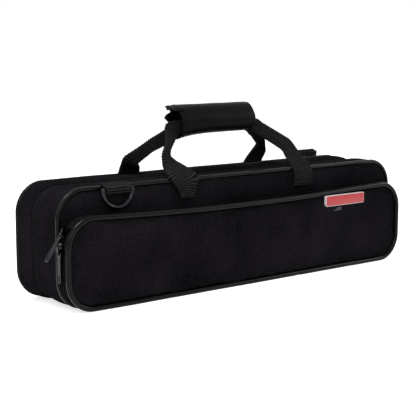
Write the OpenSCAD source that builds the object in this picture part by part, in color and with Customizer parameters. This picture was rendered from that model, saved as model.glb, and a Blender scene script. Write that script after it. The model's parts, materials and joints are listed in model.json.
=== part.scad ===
// Soft-shell flute case, standing on its long narrow side with the carrying handle on top.
// +X runs along the case, -Y is the front (the pocket side) and +Z is up.
// The origin is at the middle of the ground under the case.

/* [Case] */
// Length of the case over its edge piping
case_l = 430; // [400:5:470]
// Height of the case over its edge piping, standing on its long side
case_h = 109; // [104:1:130]
// Depth of the back half, from the back plane to the zip band
base_d = 25.5; // [24:0.5:34]
// Depth of the front half, from the zip band to the front plane
lid_d = 33.5; // [30:0.5:44]
// Width of the zip band between the two halves
band_w = 12.6; // [10:0.2:16]
// Radius of the rounded corners of both halves and of the pocket
corner_r = 28.6; // [24:0.2:34]

/* [Shell] */
// Thickness of the padded outer cloth
cloth_t = 1.6; // [1.2:0.1:2.2]
// Thickness of the stiff foam walls
foam_t = 7; // [5:0.5:8]
// Thickness of the stiff foam behind the large panels
floor_t = 6; // [4:0.5:8]
// Bow of the narrow cloth bands between their seams
bow = 0.8; // [0.4:0.1:1]
// How far the large panels lie behind the crest of the piping
panel_sink = 1; // [0.5:0.1:1.6]
// Thickness of the piping on the edges of the two halves
pipe_d = 4.2; // [3.6:0.1:5]
// How far the piping stands outside the cloth bands
pipe_proud = 1.6; // [1.4:0.1:2]
// How far the piping is pressed flat on the ground
pipe_flat = 0.4; // [0.2:0.1:0.6]

/* [Zips] */
// Thickness of the zip tapes
tape_t = 1; // [0.8:0.1:1.2]
// How far the zip tapes lie below the cloth bands
tape_sink = 0.4; // [0.2:0.1:0.6]
// Thickness of the coil behind each zip tape
coil_t = 1.5; // [1:0.1:1.8]
// Gap between the two halves of a closed zip
zip_gap = 0.3; // [0.2:0.05:0.4]
// Length of a slider along its zip
slider_l = 11; // [9:0.5:12]
// Width of a slider across its zip
slider_w = 8; // [7:0.5:9]
// Length of the flat grip of a pull
pull_l = 25; // [18:1:30]
// Width of the flat grip of a pull
pull_w = 4.4; // [3.6:0.2:5]
// Angle round the corner between two parked sliders
slider_step = 31; // [28:1:40]

/* [Pocket] */
// How far the pocket's ends stay below the top of the case, over their piping
pocket_room = 23; // [21:0.5:31]
// Depth of the pocket in front of the case
pocket_d = 16.5; // [15:0.5:24]
// How far the top edge of the pocket sags in the middle
pocket_sag = 4.5; // [2:0.5:7]
// Crown of the pocket's front panel, beyond its piping
pocket_crown = 2.2; // [1:0.1:4]
// Thickness of the piping on the pocket's front edge
pocket_pipe_d = 5.2; // [4:0.1:6]
// Distance of the pocket's zip from the front of the case
pocket_zip = 4.65; // [4.65:0.05:5.5]

/* [Handle] */
// Width of the webbing
strap_w = 24; // [20:0.5:24.5]
// Thickness of the webbing
strap_t = 1.8; // [1.4:0.1:2]
// Height of the line on which the straps fold, above the ends of the pocket
strap_fold_rise = 8.3; // [6:0.1:10]
// Middle of the front strap's left foot
front_foot_left = -66; // [-80:1:-60]
// Middle of the front strap's right foot
front_foot_right = 80; // [70:1:90]
// Middle of the back strap's left foot
back_foot_left = -85; // [-96:1:-70]
// Middle of the back strap's right foot
back_foot_right = 78; // [70:1:90]
// Left end of the padded grip
grip_left = -58; // [-66:1:-50]
// Right end of the padded grip
grip_right = 36; // [30:1:46]
// Height of the grip's centre above the case
grip_rise = 48.5; // [44:0.5:56]
// Radius of the space inside the grip
grip_bore = 13.5; // [13.2:0.1:15]
// Thickness of the padded grip
grip_t = 3.2; // [2.4:0.1:4]
// Thickness of the grip's fastening edge
tongue_t = 1.4; // [1:0.1:2]
// How far the corner of the fastening edge sticks out at the left
tongue_tip = 13; // [6:1:20]

/* [Rings] */
// Thickness of the wire of the two rings
wire_d = 4; // [3:0.2:4.4]
// Width of a ring between the centres of its wire
ring_w = 32; // [28:1:36]
// Thickness of the cloth that holds a ring
tab_t = 1.3; // [1:0.1:1.6]
// Width of the cloth that holds the front ring
front_tab_w = 27; // [20:1:27]
// Distance of the front ring from the left end of the case
front_ring_in = 62; // [50:1:90]
// Width of the cloth that holds the back ring
back_tab_w = 24; // [18:1:25]
// Distance of the back ring from the right end of the case
back_ring_in = 57; // [50:1:90]
// Height of the back ring's bar above the case
back_ring_rise = 4; // [3.8:0.1:8]

/* [Badge] */
// Length of the badge on the pocket
badge_l = 57; // [40:1:60]
// Height of the badge
badge_h = 11.5; // [8:0.5:13]
// Thickness of the badge
badge_t = 1; // [0.6:0.1:1.6]
// Distance of the badge's middle from the right end of the case
badge_in = 89; // [70:1:110]
// Length of the small cloth loop under the badge
badge_tab_w = 11; // [8:1:14]

/* [Inside] */
// Radius of the long recess for the body joint
body_bed_r = 15; // [13:0.5:16]
// Length of the recess for the body joint
body_bed_l = 356; // [340:1:365]
// Radius of the recess for the head joint
head_bed_r = 12; // [11:0.5:13]
// Length of the recess for the head joint
head_bed_l = 220; // [200:1:225]
// Radius of the recess for the foot joint
foot_bed_r = 15; // [13:0.5:16]
// Length of the recess for the foot joint
foot_bed_l = 132; // [120:1:140]
// Radius of the groove for the cleaning rod
rod_bed_r = 4; // [3:0.5:4.5]
// Depth of the bed centres below the parting plane
bed_sink = 5; // [3:0.5:6]
// Thickness of the soft pad inside the front half
pad_t = 15; // [10:1:18]

/* [Hidden] */
$fn = 72;

// Clearance between cloth that is sewn together
seam = 0.05;
// Clearance between pieces that move apart
clear = 0.3;
// Depth of the two halves together
main_d = base_d + band_w + lid_d;
// Depth at which the two halves part
part_d = base_d + band_w / 2;
// Radius of the wire and of the loop of cloth round it
wire_r = wire_d / 2;
loop_bore = wire_r + clear;
loop_r = loop_bore + tab_t;
// How far the back ring and the pocket stand out of the two halves
back_over = clear + wire_d + 0.2;
front_over = pocket_d + pocket_crown;
// The back plane, so that the whole is centred on the origin
back_y = (main_d + front_over - back_over) / 2;
// The front plane of the two halves
front_y = back_y - main_d;
// Outer faces of the cloth bands and of the zip tapes, inwards from the outline
band_in = pipe_proud;
tape_in = pipe_proud + tape_sink;
foam_in = pipe_proud + cloth_t + 0.1;
// Webbing lies this far outside the piping
strap_off = clear + strap_t / 2;
// Centre of the grip
grip_y = front_y + main_d / 2;
grip_z = case_h + grip_rise;
grip_r = grip_bore + grip_t;
// Half the distance between the two straps inside the grip
strap_half = 4.2;
// Pieces that keep their distance from an end or from the top of the case
front_ring_x = front_ring_in - case_l / 2;
back_ring_x = case_l / 2 - back_ring_in;
badge_x = case_l / 2 - badge_in;
pocket_h = case_h - pocket_room;
strap_fold = pocket_h + strap_fold_rise;
// Angles of the grip's parts round its centre: 0 is the back, 90 the top
pad_from = -96;
pad_to = 76;
flap_from = 80;
flap_to = 262;
tongue_from = 46;

// Upright position of pieces that are drawn lying on the back panel
module stand() {
  translate([0, back_y, 0]) rotate([90, 0, 0]) children();
}

// The same, counted backwards from the front plane
module from_front() {
  stand() translate([0, 0, main_d]) mirror([0, 0, 1]) children();
}

// The same, counted forwards from the front plane
module before_front() {
  stand() translate([0, 0, main_d]) children();
}

// Centre of a corner of an outline; the corners count from the top right, anticlockwise
function corner_at(q, l, h, r) =
  [(q == 0 || q == 3 ? 1 : -1) * (l / 2 - r), (q < 2 ? h - r : r) - pipe_flat, 0];

function has(list, q) = len(search(q, list)) > 0;

// Carries a profile round the outline: its first axis points outwards, its second along the depth
module around(l, h, r, corners = [0, 1, 2, 3], sides = [0, 1, 2, 3]) {
  for (q = [0:3]) {
    translate(corner_at(q, l, h, r)) rotate([0, 0, 90 * q]) {
      if (has(corners, q)) rotate_extrude(angle = 90) translate([r, 0]) children();
      if (has(sides, q)) rotate([90, 0, 0])
        linear_extrude((q % 2 == 0 ? h : l) - 2 * r) translate([r, 0]) children();
    }
  }
}

// Slope at the ends of the sagging top edge, and the radius of that edge
sag_run = case_l / 2 - corner_r;
sag_a = 2 * atan(pocket_sag / sag_run);
sag_r = sag_run / sin(sag_a) - corner_r;
sag_y = pocket_h - corner_r + (sag_r + corner_r) * cos(sag_a);

// Carries a profile round the two halves
module around_case(corners = [0, 1, 2, 3], sides = [0, 1, 2, 3]) {
  around(case_l, case_h + pipe_flat, corner_r, corners, sides) children();
}

// Filled plate with the outline of the case
module plate(inset, from, to) {
  h = case_h + pipe_flat;
  r = corner_r - inset;
  translate([0, 0, from]) linear_extrude(to - from) {
    translate([inset - case_l / 2, corner_r - pipe_flat]) square([case_l - 2 * inset, h - 2 * corner_r]);
    translate([corner_r - case_l / 2, inset - pipe_flat]) square([case_l - 2 * corner_r, h - 2 * inset]);
    for (q = [0:3]) translate(corner_at(q, case_l, h, corner_r)) circle(r);
  }
}

// Profile of a strip: outer face this far inwards, with its thickness and depth
module strip(inset, t, from, to) {
  translate([-inset - t, from]) square([t, to - from]);
}

// Profile of a cloth band that bows outwards between two seams
module bowed(inset, t, from, to) {
  half = (to - from) / 2;
  big = (half * half + bow * bow) / (2 * bow);
  intersection() {
    translate([bow - inset - big, from + half]) difference() {
      circle(big, $fn = 200);
      circle(big - t, $fn = 200);
    }
    translate([-inset - 2 * t, from]) square([3 * t + bow, 2 * half]);
  }
}

// Profile of a piping cord whose crest is at this depth, with its body behind the crest
module cord_profile(d, spare = 0) {
  translate([-d / 2, d / 2]) circle(d / 2 + spare, $fn = 48);
}

// Cuts away what would lie under the ground
module on_ground() {
  difference() {
    children();
    translate([-case_l, -case_l, -10]) cube([2 * case_l, 2 * case_l, 10]);
  }
}

// Profile of one half's cloth band, cut to the piping
module half_band(depth) {
  difference() {
    bowed(band_in, cloth_t, pipe_d * 0.7, depth - seam);
    cord_profile(pipe_d, seam);
  }
}

// Stiff foam tray of one half, with a step behind the zip for the coil
module foam_tray(depth) {
  rim = depth + band_w / 2 - zip_gap / 2;
  under = panel_sink + cloth_t;
  plate(pipe_d + clear, under, under + floor_t);
  around_case() {
    strip(foam_in, foam_t, pipe_d + 0.1, rim - 2 * coil_t);
    strip(foam_in + 2 * coil_t, foam_t - 2 * coil_t, rim - 2 * coil_t, rim);
  }
}

module back_piping() {
  color("#0d0d0f") on_ground() stand() around_case() cord_profile(pipe_d);
}

module back_band() {
  color("#17161a") stand() around_case() half_band(base_d);
}

module back_panel() {
  color("#17161a") stand() plate(pipe_d + seam, panel_sink, panel_sink + cloth_t);
}

module back_foam() {
  color("#3c3c3f") stand() foam_tray(base_d);
}

module back_zip_tape() {
  color("#242328") stand() around_case(sides = [0, 1, 2])
    strip(tape_in, tape_t, base_d, part_d - zip_gap / 2);
}

module back_coil() {
  color("#101012") stand() around_case(sides = [0, 1, 2])
    strip(tape_in + tape_t, coil_t, part_d - coil_t, part_d - zip_gap / 2);
}

// Cloth along the ground that joins the two halves
module hinge_cloth() {
  color("#17161a") stand() around_case(corners = [], sides = [3])
    strip(tape_in, tape_t, base_d, base_d + band_w);
}

// Space inside the foam walls
inner_in = foam_in + foam_t + 0.1;
insert_back = panel_sink + cloth_t + floor_t;
insert_front = part_d - 0.2;
bed_d = part_d - bed_sink;
inner_l = case_l - 2 * inner_in;
inner_low = inner_in - pipe_flat;
inner_high = case_h - inner_in;
// The two rows of beds share what the beds leave of the height
bed_wall = (inner_high - inner_low - 2 * body_bed_r - 2 * foot_bed_r - 2 * rod_bed_r) / 4;
low_row = inner_low + bed_wall + body_bed_r;
rod_row = low_row + body_bed_r + bed_wall + rod_bed_r;
high_row = rod_row + rod_bed_r + bed_wall + foot_bed_r;
row_gap = (inner_l - head_bed_l - foot_bed_l) / 3;
head_x = -inner_l / 2 + row_gap + head_bed_l / 2;
foot_x = inner_l / 2 - row_gap - foot_bed_l / 2;

// Radius of the finger notch, and the size of the ribbon loop
notch_r = 13;
ribbon_w = 4;
ribbon_l = 16;
ribbon_t = 0.8;

// Room for one round piece of the instrument, open towards the front
module bed(x, row, l, r, sink) {
  translate([x - l / 2, row, part_d - sink]) {
    rotate([0, 90, 0]) cylinder(r = r, h = l);
    translate([0, -r, 0]) cube([l, 2 * r, sink + 1]);
  }
}

// Moulded, plush covered bed for the three joints of the flute and the cleaning rod
module insert() {
  color("#26262a") stand() difference() {
    plate(inner_in, insert_back, insert_front);
    bed(0, low_row, body_bed_l, body_bed_r, bed_sink);
    bed(0, rod_row, body_bed_l, rod_bed_r, bed_sink);
    bed(head_x, high_row, head_bed_l, head_bed_r, bed_sink);
    bed(foot_x, high_row, foot_bed_l, foot_bed_r, bed_sink);
    // Finger notch across the lower bed
    translate([0, low_row, part_d - bed_sink]) rotate([0, 90, 90])
      cylinder(r = notch_r, h = 2 * body_bed_r + bed_wall, center = true);
  }
}

// Ribbon loop at the foot joint's bed, sewn to the insert, for lifting the joint out
module finger_pull() {
  x = foot_x - (foot_bed_l + row_gap) / 2;
  color("#0d0d0f") stand() translate([x, high_row - ribbon_l / 2, insert_front])
    cube([ribbon_w, ribbon_l, ribbon_t]);
}

module front_piping() {
  color("#0d0d0f") on_ground() from_front() around_case() cord_profile(pipe_d);
}

module front_band() {
  color("#17161a") from_front() around_case() half_band(lid_d);
}

module front_panel() {
  color("#17161a") from_front() plate(pipe_d + seam, panel_sink, panel_sink + cloth_t);
}

module front_foam() {
  color("#3c3c3f") from_front() foam_tray(lid_d);
}

module front_zip_tape() {
  color("#242328") from_front() around_case(sides = [0, 1, 2])
    strip(tape_in, tape_t, lid_d, lid_d + band_w / 2 - zip_gap / 2);
}

module front_coil() {
  rim = lid_d + band_w / 2;
  color("#101012") from_front() around_case(sides = [0, 1, 2])
    strip(tape_in + tape_t, coil_t, rim - coil_t, rim - zip_gap / 2);
}

// Thickness of the lining, and the room that it leaves at the zip
lining_t = 1;
lining_short = 1;

// Soft pad that holds the flute down when the case is closed
module lid_pad() {
  color("#2c2c30") from_front() plate(inner_in + lining_t + 0.5, insert_back, insert_back + pad_t);
}

// Plush lining on the inner walls of the front half
module lid_cloth() {
  color("#1f1f23") from_front() around_case()
    strip(inner_in, lining_t, insert_back, lid_d + band_w / 2 - lining_short);
}

// Outer face of the pocket's zip tapes and of its cloth band
module pocket_fixed_tape() {
  color("#242328") before_front() {
    pocket_strip(tape_in, tape_t, seam, pocket_zip - zip_gap / 2);
    // Where the tape sags below the piping, it reaches back to the front panel
    translate([0, 0, -panel_sink]) linear_extrude(panel_sink + 2 * seam) polygon(concat(
      sag_points(tape_in, [0:arc_steps]), sag_points(tape_in + tape_t, [arc_steps:-1:0])));
  }
}

// Cloth inside the bottom of the pocket, on which the pocket folds open
pocket_cloth_t = 0.6;
module pocket_hinge_cloth() {
  color("#17161a") before_front() around(case_l, pocket_h, corner_r, [], [3])
    strip(tape_in + tape_t + seam, pocket_cloth_t, 1, 2 * pocket_zip - 1);
}

module pocket_tape() {
  color("#242328") before_front()
    pocket_strip(tape_in, tape_t, pocket_zip + zip_gap / 2, 2 * pocket_zip - seam);
}

// Band of cloth between the pocket's zip and its piping
module pocket_band() {
  color("#17161a") before_front()
    pocket_ring(bowed_points(band_in, cloth_t, 2 * pocket_zip, pocket_d - pocket_pipe_d));
}

module pocket_piping() {
  r = pocket_pipe_d / 2;
  color("#0d0d0f") before_front()
    pocket_ring([for (a = [0:30:330]) [r * cos(a) - r, pocket_d - r + r * sin(a)]]);
}

// Points of the pocket's outline, and of its sagging top edge alone, moved inwards by s
arc_steps = 8;
function arc_points(c, r, from, to) =
  [for (i = [0:arc_steps]) let (a = from + (to - from) * i / arc_steps) c + r * [cos(a), sin(a)]];
function sag_points(s, steps) =
  [for (i = steps) let (a = -90 + sag_a - 2 * sag_a * i / arc_steps)
    [0, sag_y] + (sag_r + s) * [cos(a), sin(a)]];
function pocket_points(s) =
  let (x = case_l / 2 - corner_r, high = pocket_h - corner_r, low = corner_r - pipe_flat, r = corner_r - s)
  concat(
    arc_points([x, low], r, -90, 0), arc_points([x, high], r, 0, 90 + sag_a),
    sag_points(s, [1:arc_steps - 1]),
    arc_points([-x, high], r, 90 - sag_a, 180), arc_points([-x, low], r, 180, 270)
  );

// Upright strip along the pocket's outline, with its outer face this far inwards
module pocket_strip(inset, t, from, to) {
  translate([0, 0, from]) linear_extrude(to - from) difference() {
    polygon(pocket_points(inset));
    polygon(pocket_points(inset + t));
  }
}

// Points of the profile of a bowed band, anticlockwise
bow_steps = 4;
function bow_at(i) = bow * (1 - pow(2 * i / bow_steps - 1, 2));
function bowed_points(inset, t, from, to) = concat(
  [for (i = [0:bow_steps]) [bow_at(i) - inset, from + (to - from) * i / bow_steps]],
  [for (i = [bow_steps:-1:0]) [bow_at(i) - inset - t, from + (to - from) * i / bow_steps]]);

// Closed ring along the pocket's outline, with this profile; the ground presses it flat
module pocket_ring(profile) {
  n = len(pocket_points(0));
  m = len(profile);
  points = [for (q = profile) each [for (p = pocket_points(-q[0])) [p.x, max(p.y, 0), q[1]]]];
  faces = [for (k = [0:m - 1]) for (i = [0:n - 1]) let (
      a = k * n + i, b = ((k + 1) % m) * n + i, c = ((k + 1) % m) * n + (i + 1) % n, d = k * n + (i + 1) % n)
    each [[a, b, c], [a, c, d]]];
  polyhedron(points, faces, convexity = 8);
}

// Width over which the pocket's front panel rises to its crown, in rings
rise_w = 20;
rise_steps = 6;
edge_t = 3.4;
panel_back = pocket_d - pocket_pipe_d / 2 - 1.6;
function rise(s) = edge_t + panel_back
  + (pocket_d + pocket_crown - edge_t - panel_back) * (1 - pow(1 - min(s / rise_w, 1), 2));

// Foam-backed front of the pocket, flat inside and crowned outside
module crowned_panel() {
  inset = pocket_pipe_d + seam;
  n = len(pocket_points(inset));
  rings = [for (k = [-1:rise_steps]) let (s = rise_w * max(k, 0) / rise_steps)
    [for (p = pocket_points(inset + s)) [p.x, p.y, k < 0 ? panel_back : rise(s)]]];
  points = [for (ring = rings) each ring];
  walls = [for (k = [0:rise_steps]) for (i = [0:n - 1]) let (j = (i + 1) % n)
    each [[k * n + i, (k + 1) * n + i, (k + 1) * n + j], [k * n + i, (k + 1) * n + j, k * n + j]]];
  back = [for (i = [0:n - 1]) i];
  front = [for (i = [n - 1:-1:0]) (rise_steps + 1) * n + i];
  polyhedron(points, concat([back], walls, [front]), convexity = 4);
}

module pocket_panel() {
  color("#19181c") before_front() crowned_panel();
}

// Height of the badge's top edge, just inside the pocket's piping, and the slope of that edge
badge_inset = 1;
badge_top = pocket_h - pocket_sag * (1 - pow(badge_x / sag_run, 2)) - pocket_pipe_d - badge_inset;
badge_slope = atan(2 * pocket_sag * badge_x / (sag_run * sag_run));
// Slope of the crown under the badge
badge_lean = atan((rise(badge_inset + badge_h) - rise(badge_inset)) / badge_h);

// How far a piece on the crown reaches back into the panel before it is cut to the crown
crown_root = 3;

// Block that stands on the crown, with its top edge parallel to the pocket's, and this far from the edge
module on_crown(x, from, to, l, t) {
  translate([badge_x, badge_top, 0]) rotate([0, 0, badge_slope]) difference() {
    translate([x, 0, rise(badge_inset) + t]) rotate([-badge_lean, 0, 0])
      translate([0, -to, -crown_root]) cube([l, to - from, crown_root]);
    rotate([0, 0, -badge_slope]) translate([-badge_x, -badge_top, 0]) crowned_panel();
  }
}

module badge() {
  color("#a8161c") before_front() on_crown(-badge_l / 2, 0, badge_h, badge_l, badge_t);
}

// Folded end of the badge's cloth, just below it
module badge_tab() {
  color("#3a3a3e") before_front() on_crown(badge_tab_w - badge_l / 2, badge_h + 0.1, badge_h + 3.4,
    badge_tab_w, badge_t * 0.8);
}

// Cubic through four stations, for every number of a station
function curve(a, b, c, d, t) =
  0.5 * (2 * b + (c - a) * t + (2 * a - 5 * b + 4 * c - d) * t * t + (3 * b - a - 3 * c + d) * t * t * t);
function unit(v) = v / norm(v);
function row(list, i) = list[max(0, min(len(list) - 1, i))];

// Places along the stations, with the sideways direction in numbers 3 to 5
strap_steps = 5;
function strap_places(st) = concat(
  [for (i = [0:len(st) - 2]) for (k = [0:strap_steps - 1])
    curve(row(st, i - 1), st[i], st[i + 1], row(st, i + 2), k / strap_steps)],
  [st[len(st) - 1]]);

// Webbing swept through the stations; numbers 6 and 7 are its width and thickness
module webbing(stations) {
  places = strap_places(stations);
  last = len(places) - 1;
  points = [for (i = [0:last]) let (
      p = [for (j = [0:2]) places[i][j]],
      run = unit([for (j = [0:2]) row(places, i + 1)[j] - row(places, i - 1)[j]]),
      raw = [for (j = [3:5]) places[i][j]],
      side = unit(raw - run * (raw * run)) * places[i][6] / 2,
      face = unit(cross(run, side)) * places[i][7] / 2)
    each [p + side + face, p - side + face, p - side - face, p + side - face]];
  walls = [for (i = [0:last - 1]) for (k = [0:3]) let (a = 4 * i + k, b = 4 * i + (k + 1) % 4)
    each [[a, a + 4, b + 4], [a, b + 4, b]]];
  polyhedron(points, concat([[0, 1, 2], [0, 2, 3]], walls,
    [[4 * last + 2, 4 * last + 1, 4 * last], [4 * last + 3, 4 * last + 2, 4 * last]]), convexity = 6);
}

// Width of a strap where it is folded lengthwise, between its two bends and inside the grip
fold_w = strap_w / 2 + 1;
fold_t = 2 * strap_t;
// Height of the straps inside the grip, below its centre, and how far they drop just outside it
grip_sink = 3.5;
grip_drop = 13.5;
// Height over which a strap stands straight above its fold, so that it starts level with its sewn end
foot_rise = 4.2;

// Stations of a leg, from its foot over its bend into the grip; s is 1 on the right and -1 on the left,
// m is 1 for the front strap and -1 for the back one; the bend lies at x, this far up and inwards
function leg(foot, x, up, in, grip_x, plane, s, m) = [
  [foot, plane - m * strap_off, strap_fold + 0.2, s, 0, 0, strap_w, strap_t],
  [foot, plane - m * strap_off, strap_fold + foot_rise, s, 0, 0, strap_w, strap_t],
  [foot, plane - m * strap_off, case_h - 1.5, s, 0, 0, strap_w, strap_t],
  [foot + 0.4 * (x - foot), plane + 0.1 * m * in, case_h + 0.28 * up, s, 0, 0, strap_w, strap_t],
  [foot + 0.9 * (x - foot), plane + 0.6 * m * in, case_h + 0.7 * up, 0.8 * s, -m * 0.4, 0.4,
    0.85 * strap_w, strap_t],
  [x, plane + m * in, case_h + up, 0.4 * s, -m * 0.5, 0.7, fold_w, fold_t],
  [grip_x + 12 * s, grip_y - m * (strap_half + 1.5), grip_z - grip_drop, 0, 0, 1, fold_w, fold_t],
  [grip_x + 5 * s, grip_y - m * (strap_half + 0.5), grip_z - 2 * grip_sink, 0, 0, 1, fold_w, fold_t],
  [grip_x - 10 * s, grip_y - m * strap_half, grip_z - grip_sink, 0, 0, 1, fold_w, fold_t]
];
function strap_stations(left, right) = concat(left, [for (i = [len(right) - 1:-1:0]) right[i]]);

module front_strap() {
  color("#1b1b1e") webbing(strap_stations(
    leg(front_foot_left, front_foot_left - 15, 18.5, 17, grip_left, front_y, -1, 1),
    leg(front_foot_right, front_foot_right - 11, 22, 14, grip_right, front_y, 1, 1)));
}

module back_strap() {
  color("#1b1b1e") webbing(strap_stations(
    leg(back_foot_left, back_foot_left - 8, 14.5, 15.5, grip_left, back_y, -1, -1),
    leg(back_foot_right, back_foot_right + 3, 14, 13, grip_right, back_y, 1, -1)));
}

// Height of the ends that are sewn down below the fold
strap_end_h = 2.6;

// Ends of the webbing that are sewn down on a panel; m is 1 at the front and -1 at the back
module strap_end(x, plane, m) {
  thick = strap_t + clear + panel_sink;
  low = plane - m * (clear + strap_t);
  translate([x - strap_w / 2, m > 0 ? low : low - thick, strap_fold - strap_end_h - 0.1])
    cube([strap_w, thick, strap_end_h]);
}

module front_strap_ends() {
  color("#1b1b1e") for (x = [front_foot_left, front_foot_right]) strap_end(x, front_y, 1);
}

module back_strap_ends() {
  color("#1b1b1e") for (x = [back_foot_left, back_foot_right]) strap_end(x, back_y, -1);
}

// Part of a tube round the grip's axis, between two angles
module grip_arc(r, t, from, to, left, right) {
  translate([left, grip_y, grip_z]) rotate([90, 0, 90]) rotate([0, 0, from])
    rotate_extrude(angle = to - from) translate([r, 0]) square([t, right - left]);
}

module grip_pad() {
  color("#101013") grip_arc(grip_bore, grip_t, pad_from, pad_to, grip_left, grip_right);
}

// Thickness of the soft and the hooked half of the fastening, and their distance from the grip's ends
loop_t = 0.4;
hook_t = 0.7;
tape_short = 4;

// Soft half of the grip's fastening, on the outside of the pad
module loop_tape() {
  color("#0a0a0b")
    grip_arc(grip_r, loop_t, tongue_from + 2, pad_to, grip_left + tape_short, grip_right - tape_short);
}

tongue_r = grip_r + loop_t + hook_t + clear;

// Width of the corner of the fastening edge
tip_w = 9;

// Free half of the grip, with its fastening edge over the pad and the corner that sticks out
module grip_flap() {
  color("#101013") {
    grip_arc(grip_bore, grip_t, flap_from, flap_to, grip_left, grip_right);
    grip_arc(grip_r - seam, tongue_r - grip_r + 2 * seam, flap_from + 4, flap_from + 16, grip_left, grip_right);
    grip_arc(tongue_r, tongue_t, tongue_from, flap_from + 16, grip_left, grip_right);
    translate([grip_left - tongue_tip, grip_y - tip_w / 3, grip_z + tongue_r - 1.2])
      cube([tongue_tip + 1, tip_w, tongue_t]);
  }
}

// Hook half of the fastening, inside the edge of the flap
module hook_tape() {
  color("#0a0a0b")
    grip_arc(tongue_r - hook_t, hook_t, tongue_from + 2, pad_to - 2,
      grip_left + tape_short, grip_right - tape_short);
}

// Ring with a straight bar, hanging down from the bar's middle
module d_ring() {
  half = ring_w / 2;
  rotate([90, 0, 0]) rotate([0, 0, 180]) rotate_extrude(angle = 180)
    translate([half, 0]) circle(wire_r, $fn = 32);
  translate([-half, 0, 0]) rotate([0, 90, 0]) cylinder(r = wire_r, h = ring_w, $fn = 32);
  for (s = [-1, 1]) translate([s * half, 0, 0]) sphere(wire_r, $fn = 32);
}

// Bars of the two rings
front_bar = [front_ring_x, front_y - clear - loop_r, case_h - pipe_d];
back_bar = [back_ring_x, back_y + clear + wire_r + 0.2, case_h + back_ring_rise];

// Profile of the loop of cloth round a bar
module loop_profile() {
  difference() {
    circle(loop_r, $fn = 48);
    circle(loop_bore, $fn = 48);
  }
}

// Loop of webbing that comes over the front piping and holds the front ring
module front_tab() {
  // Places in its profile, seen from the bar: over the piping, and at the seam behind the piping
  over = [front_y + pipe_d / 2 - front_bar.y, case_h + 0.2 + tab_t / 2 - front_bar.z];
  seam_y = front_y + pipe_d + tab_t - front_bar.y;
  seam_z = case_h - band_in + bow - front_bar.z;
  color("#1b1b1e") translate([front_bar.x - front_tab_w / 2, front_bar.y, front_bar.z]) rotate([90, 0, 90])
    linear_extrude(front_tab_w) {
      loop_profile();
      hull() {
        translate([0, loop_bore + tab_t / 2]) circle(tab_t / 2, $fn = 24);
        translate(over) circle(tab_t / 2, $fn = 24);
      }
      hull() {
        translate(over) circle(tab_t / 2, $fn = 24);
        translate([seam_y, over.y - 0.4]) circle(tab_t / 2, $fn = 24);
      }
      translate([seam_y - tab_t / 2, seam_z]) square([tab_t, over.y - 0.4 - seam_z]);
    }
}

module front_ring() {
  color("#2e2e33") translate(front_bar) d_ring();
}

// Loop of webbing that stands up from the back piping and holds the back ring
module back_tab() {
  color("#1b1b1e") translate([back_bar.x - back_tab_w / 2, back_bar.y, back_bar.z]) rotate([90, 0, 90])
    linear_extrude(back_tab_w) {
      loop_profile();
      translate([-loop_r, case_h + 0.1 - back_bar.z]) square([tab_t, back_bar.z - case_h - 0.1]);
    }
}

module back_ring() {
  color("#2e2e33") translate(back_bar) d_ring();
}

// Bridge of a slider: window, roof and legs, and the pin of the pull in the window
plate_t = 1.5;
window_h = 2.2;
window_l = 4.4;
roof_t = 1;
leg_t = 1.2;
bridge_w = 2.4;
pin_r = 0.7;
pin_rise = clear + plate_t + 0.25 + pin_r;
bar_t = 1.2;
eye_half = bridge_w / 2 + 0.5;
eye_l = window_l / 2 + leg_t + 1.6;
pull_t = 1.6;

// Slider of a zip: it runs along the second axis and stands out along the third
module slider() {
  shoulder = slider_w * 0.32;
  translate([0, 0, clear]) {
    linear_extrude(plate_t) polygon([
      [-shoulder, -slider_l / 2], [shoulder, -slider_l / 2], [slider_w / 2 - 0.6, slider_l * 0.1],
      [slider_w / 2, slider_l / 2 - 2], [slider_w / 2 - 1.4, slider_l / 2], [1, slider_l / 2 - 0.8],
      [-1, slider_l / 2 - 0.8], [1.4 - slider_w / 2, slider_l / 2], [-slider_w / 2, slider_l / 2 - 2],
      [0.6 - slider_w / 2, slider_l * 0.1]
    ]);
    translate([-bridge_w / 2, 0, plate_t]) rotate([90, 0, 90]) linear_extrude(bridge_w) difference() {
      translate([-window_l / 2 - leg_t, -seam]) square([window_l + 2 * leg_t, window_h + roof_t + seam]);
      translate([-window_l / 2, -2 * seam]) square([window_l, window_h + 2 * seam]);
      for (s = [-1, 1]) translate([s * (window_l / 2 + leg_t), window_h + roof_t])
        rotate([0, 0, 45]) square([1.3, 1.3], center = true);
    }
  }
}

// Pull of a slider, hanging down the second axis from its pin
module pull() {
  rotate([0, 90, 0]) cylinder(r = pin_r, h = 2 * eye_half + 2 * bar_t, center = true, $fn = 32);
  for (s = [-1, 1]) translate([s * (eye_half + bar_t / 2), -eye_l / 2, 0])
    cube([bar_t, eye_l, 2 * pin_r], center = true);
  translate([0, -eye_l - pull_l, -pull_t / 2]) linear_extrude(pull_t) difference() {
    union() {
      translate([-pull_w / 2, pull_w / 2]) square([pull_w, pull_l - pull_w / 2]);
      translate([0, pull_w / 2]) circle(pull_w / 2, $fn = 32);
      translate([-eye_half - bar_t, pull_l - 2]) square([2 * eye_half + 2 * bar_t, 2]);
    }
    translate([-pull_w / 2 + 1.3, pull_w / 2]) square([pull_w - 2.6, 4]);
    translate([0, pull_w / 2]) circle(pull_w / 2 - 1.3, $fn = 32);
    translate([0, pull_w / 2 + 4]) circle(pull_w / 2 - 1.3, $fn = 32);
  }
}

// Angle by which the upper pull lies off its zip
pull_lift = 6;
// Radius of the tapes' outer face round a corner
tape_r = corner_r - tape_in;

// Puts a slider or pull on a zip: side is 1 at the right end, angle runs up round the corner,
// and depth is where the zip runs
module on_zip(side, corner_z, depth, angle) {
  translate([side * (case_l / 2 - corner_r), back_y - depth, corner_z])
    rotate([0, -side * angle, 0]) translate([side * tape_r, 0, 0])
    rotate([90, 0, side * 90]) children();
}

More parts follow.
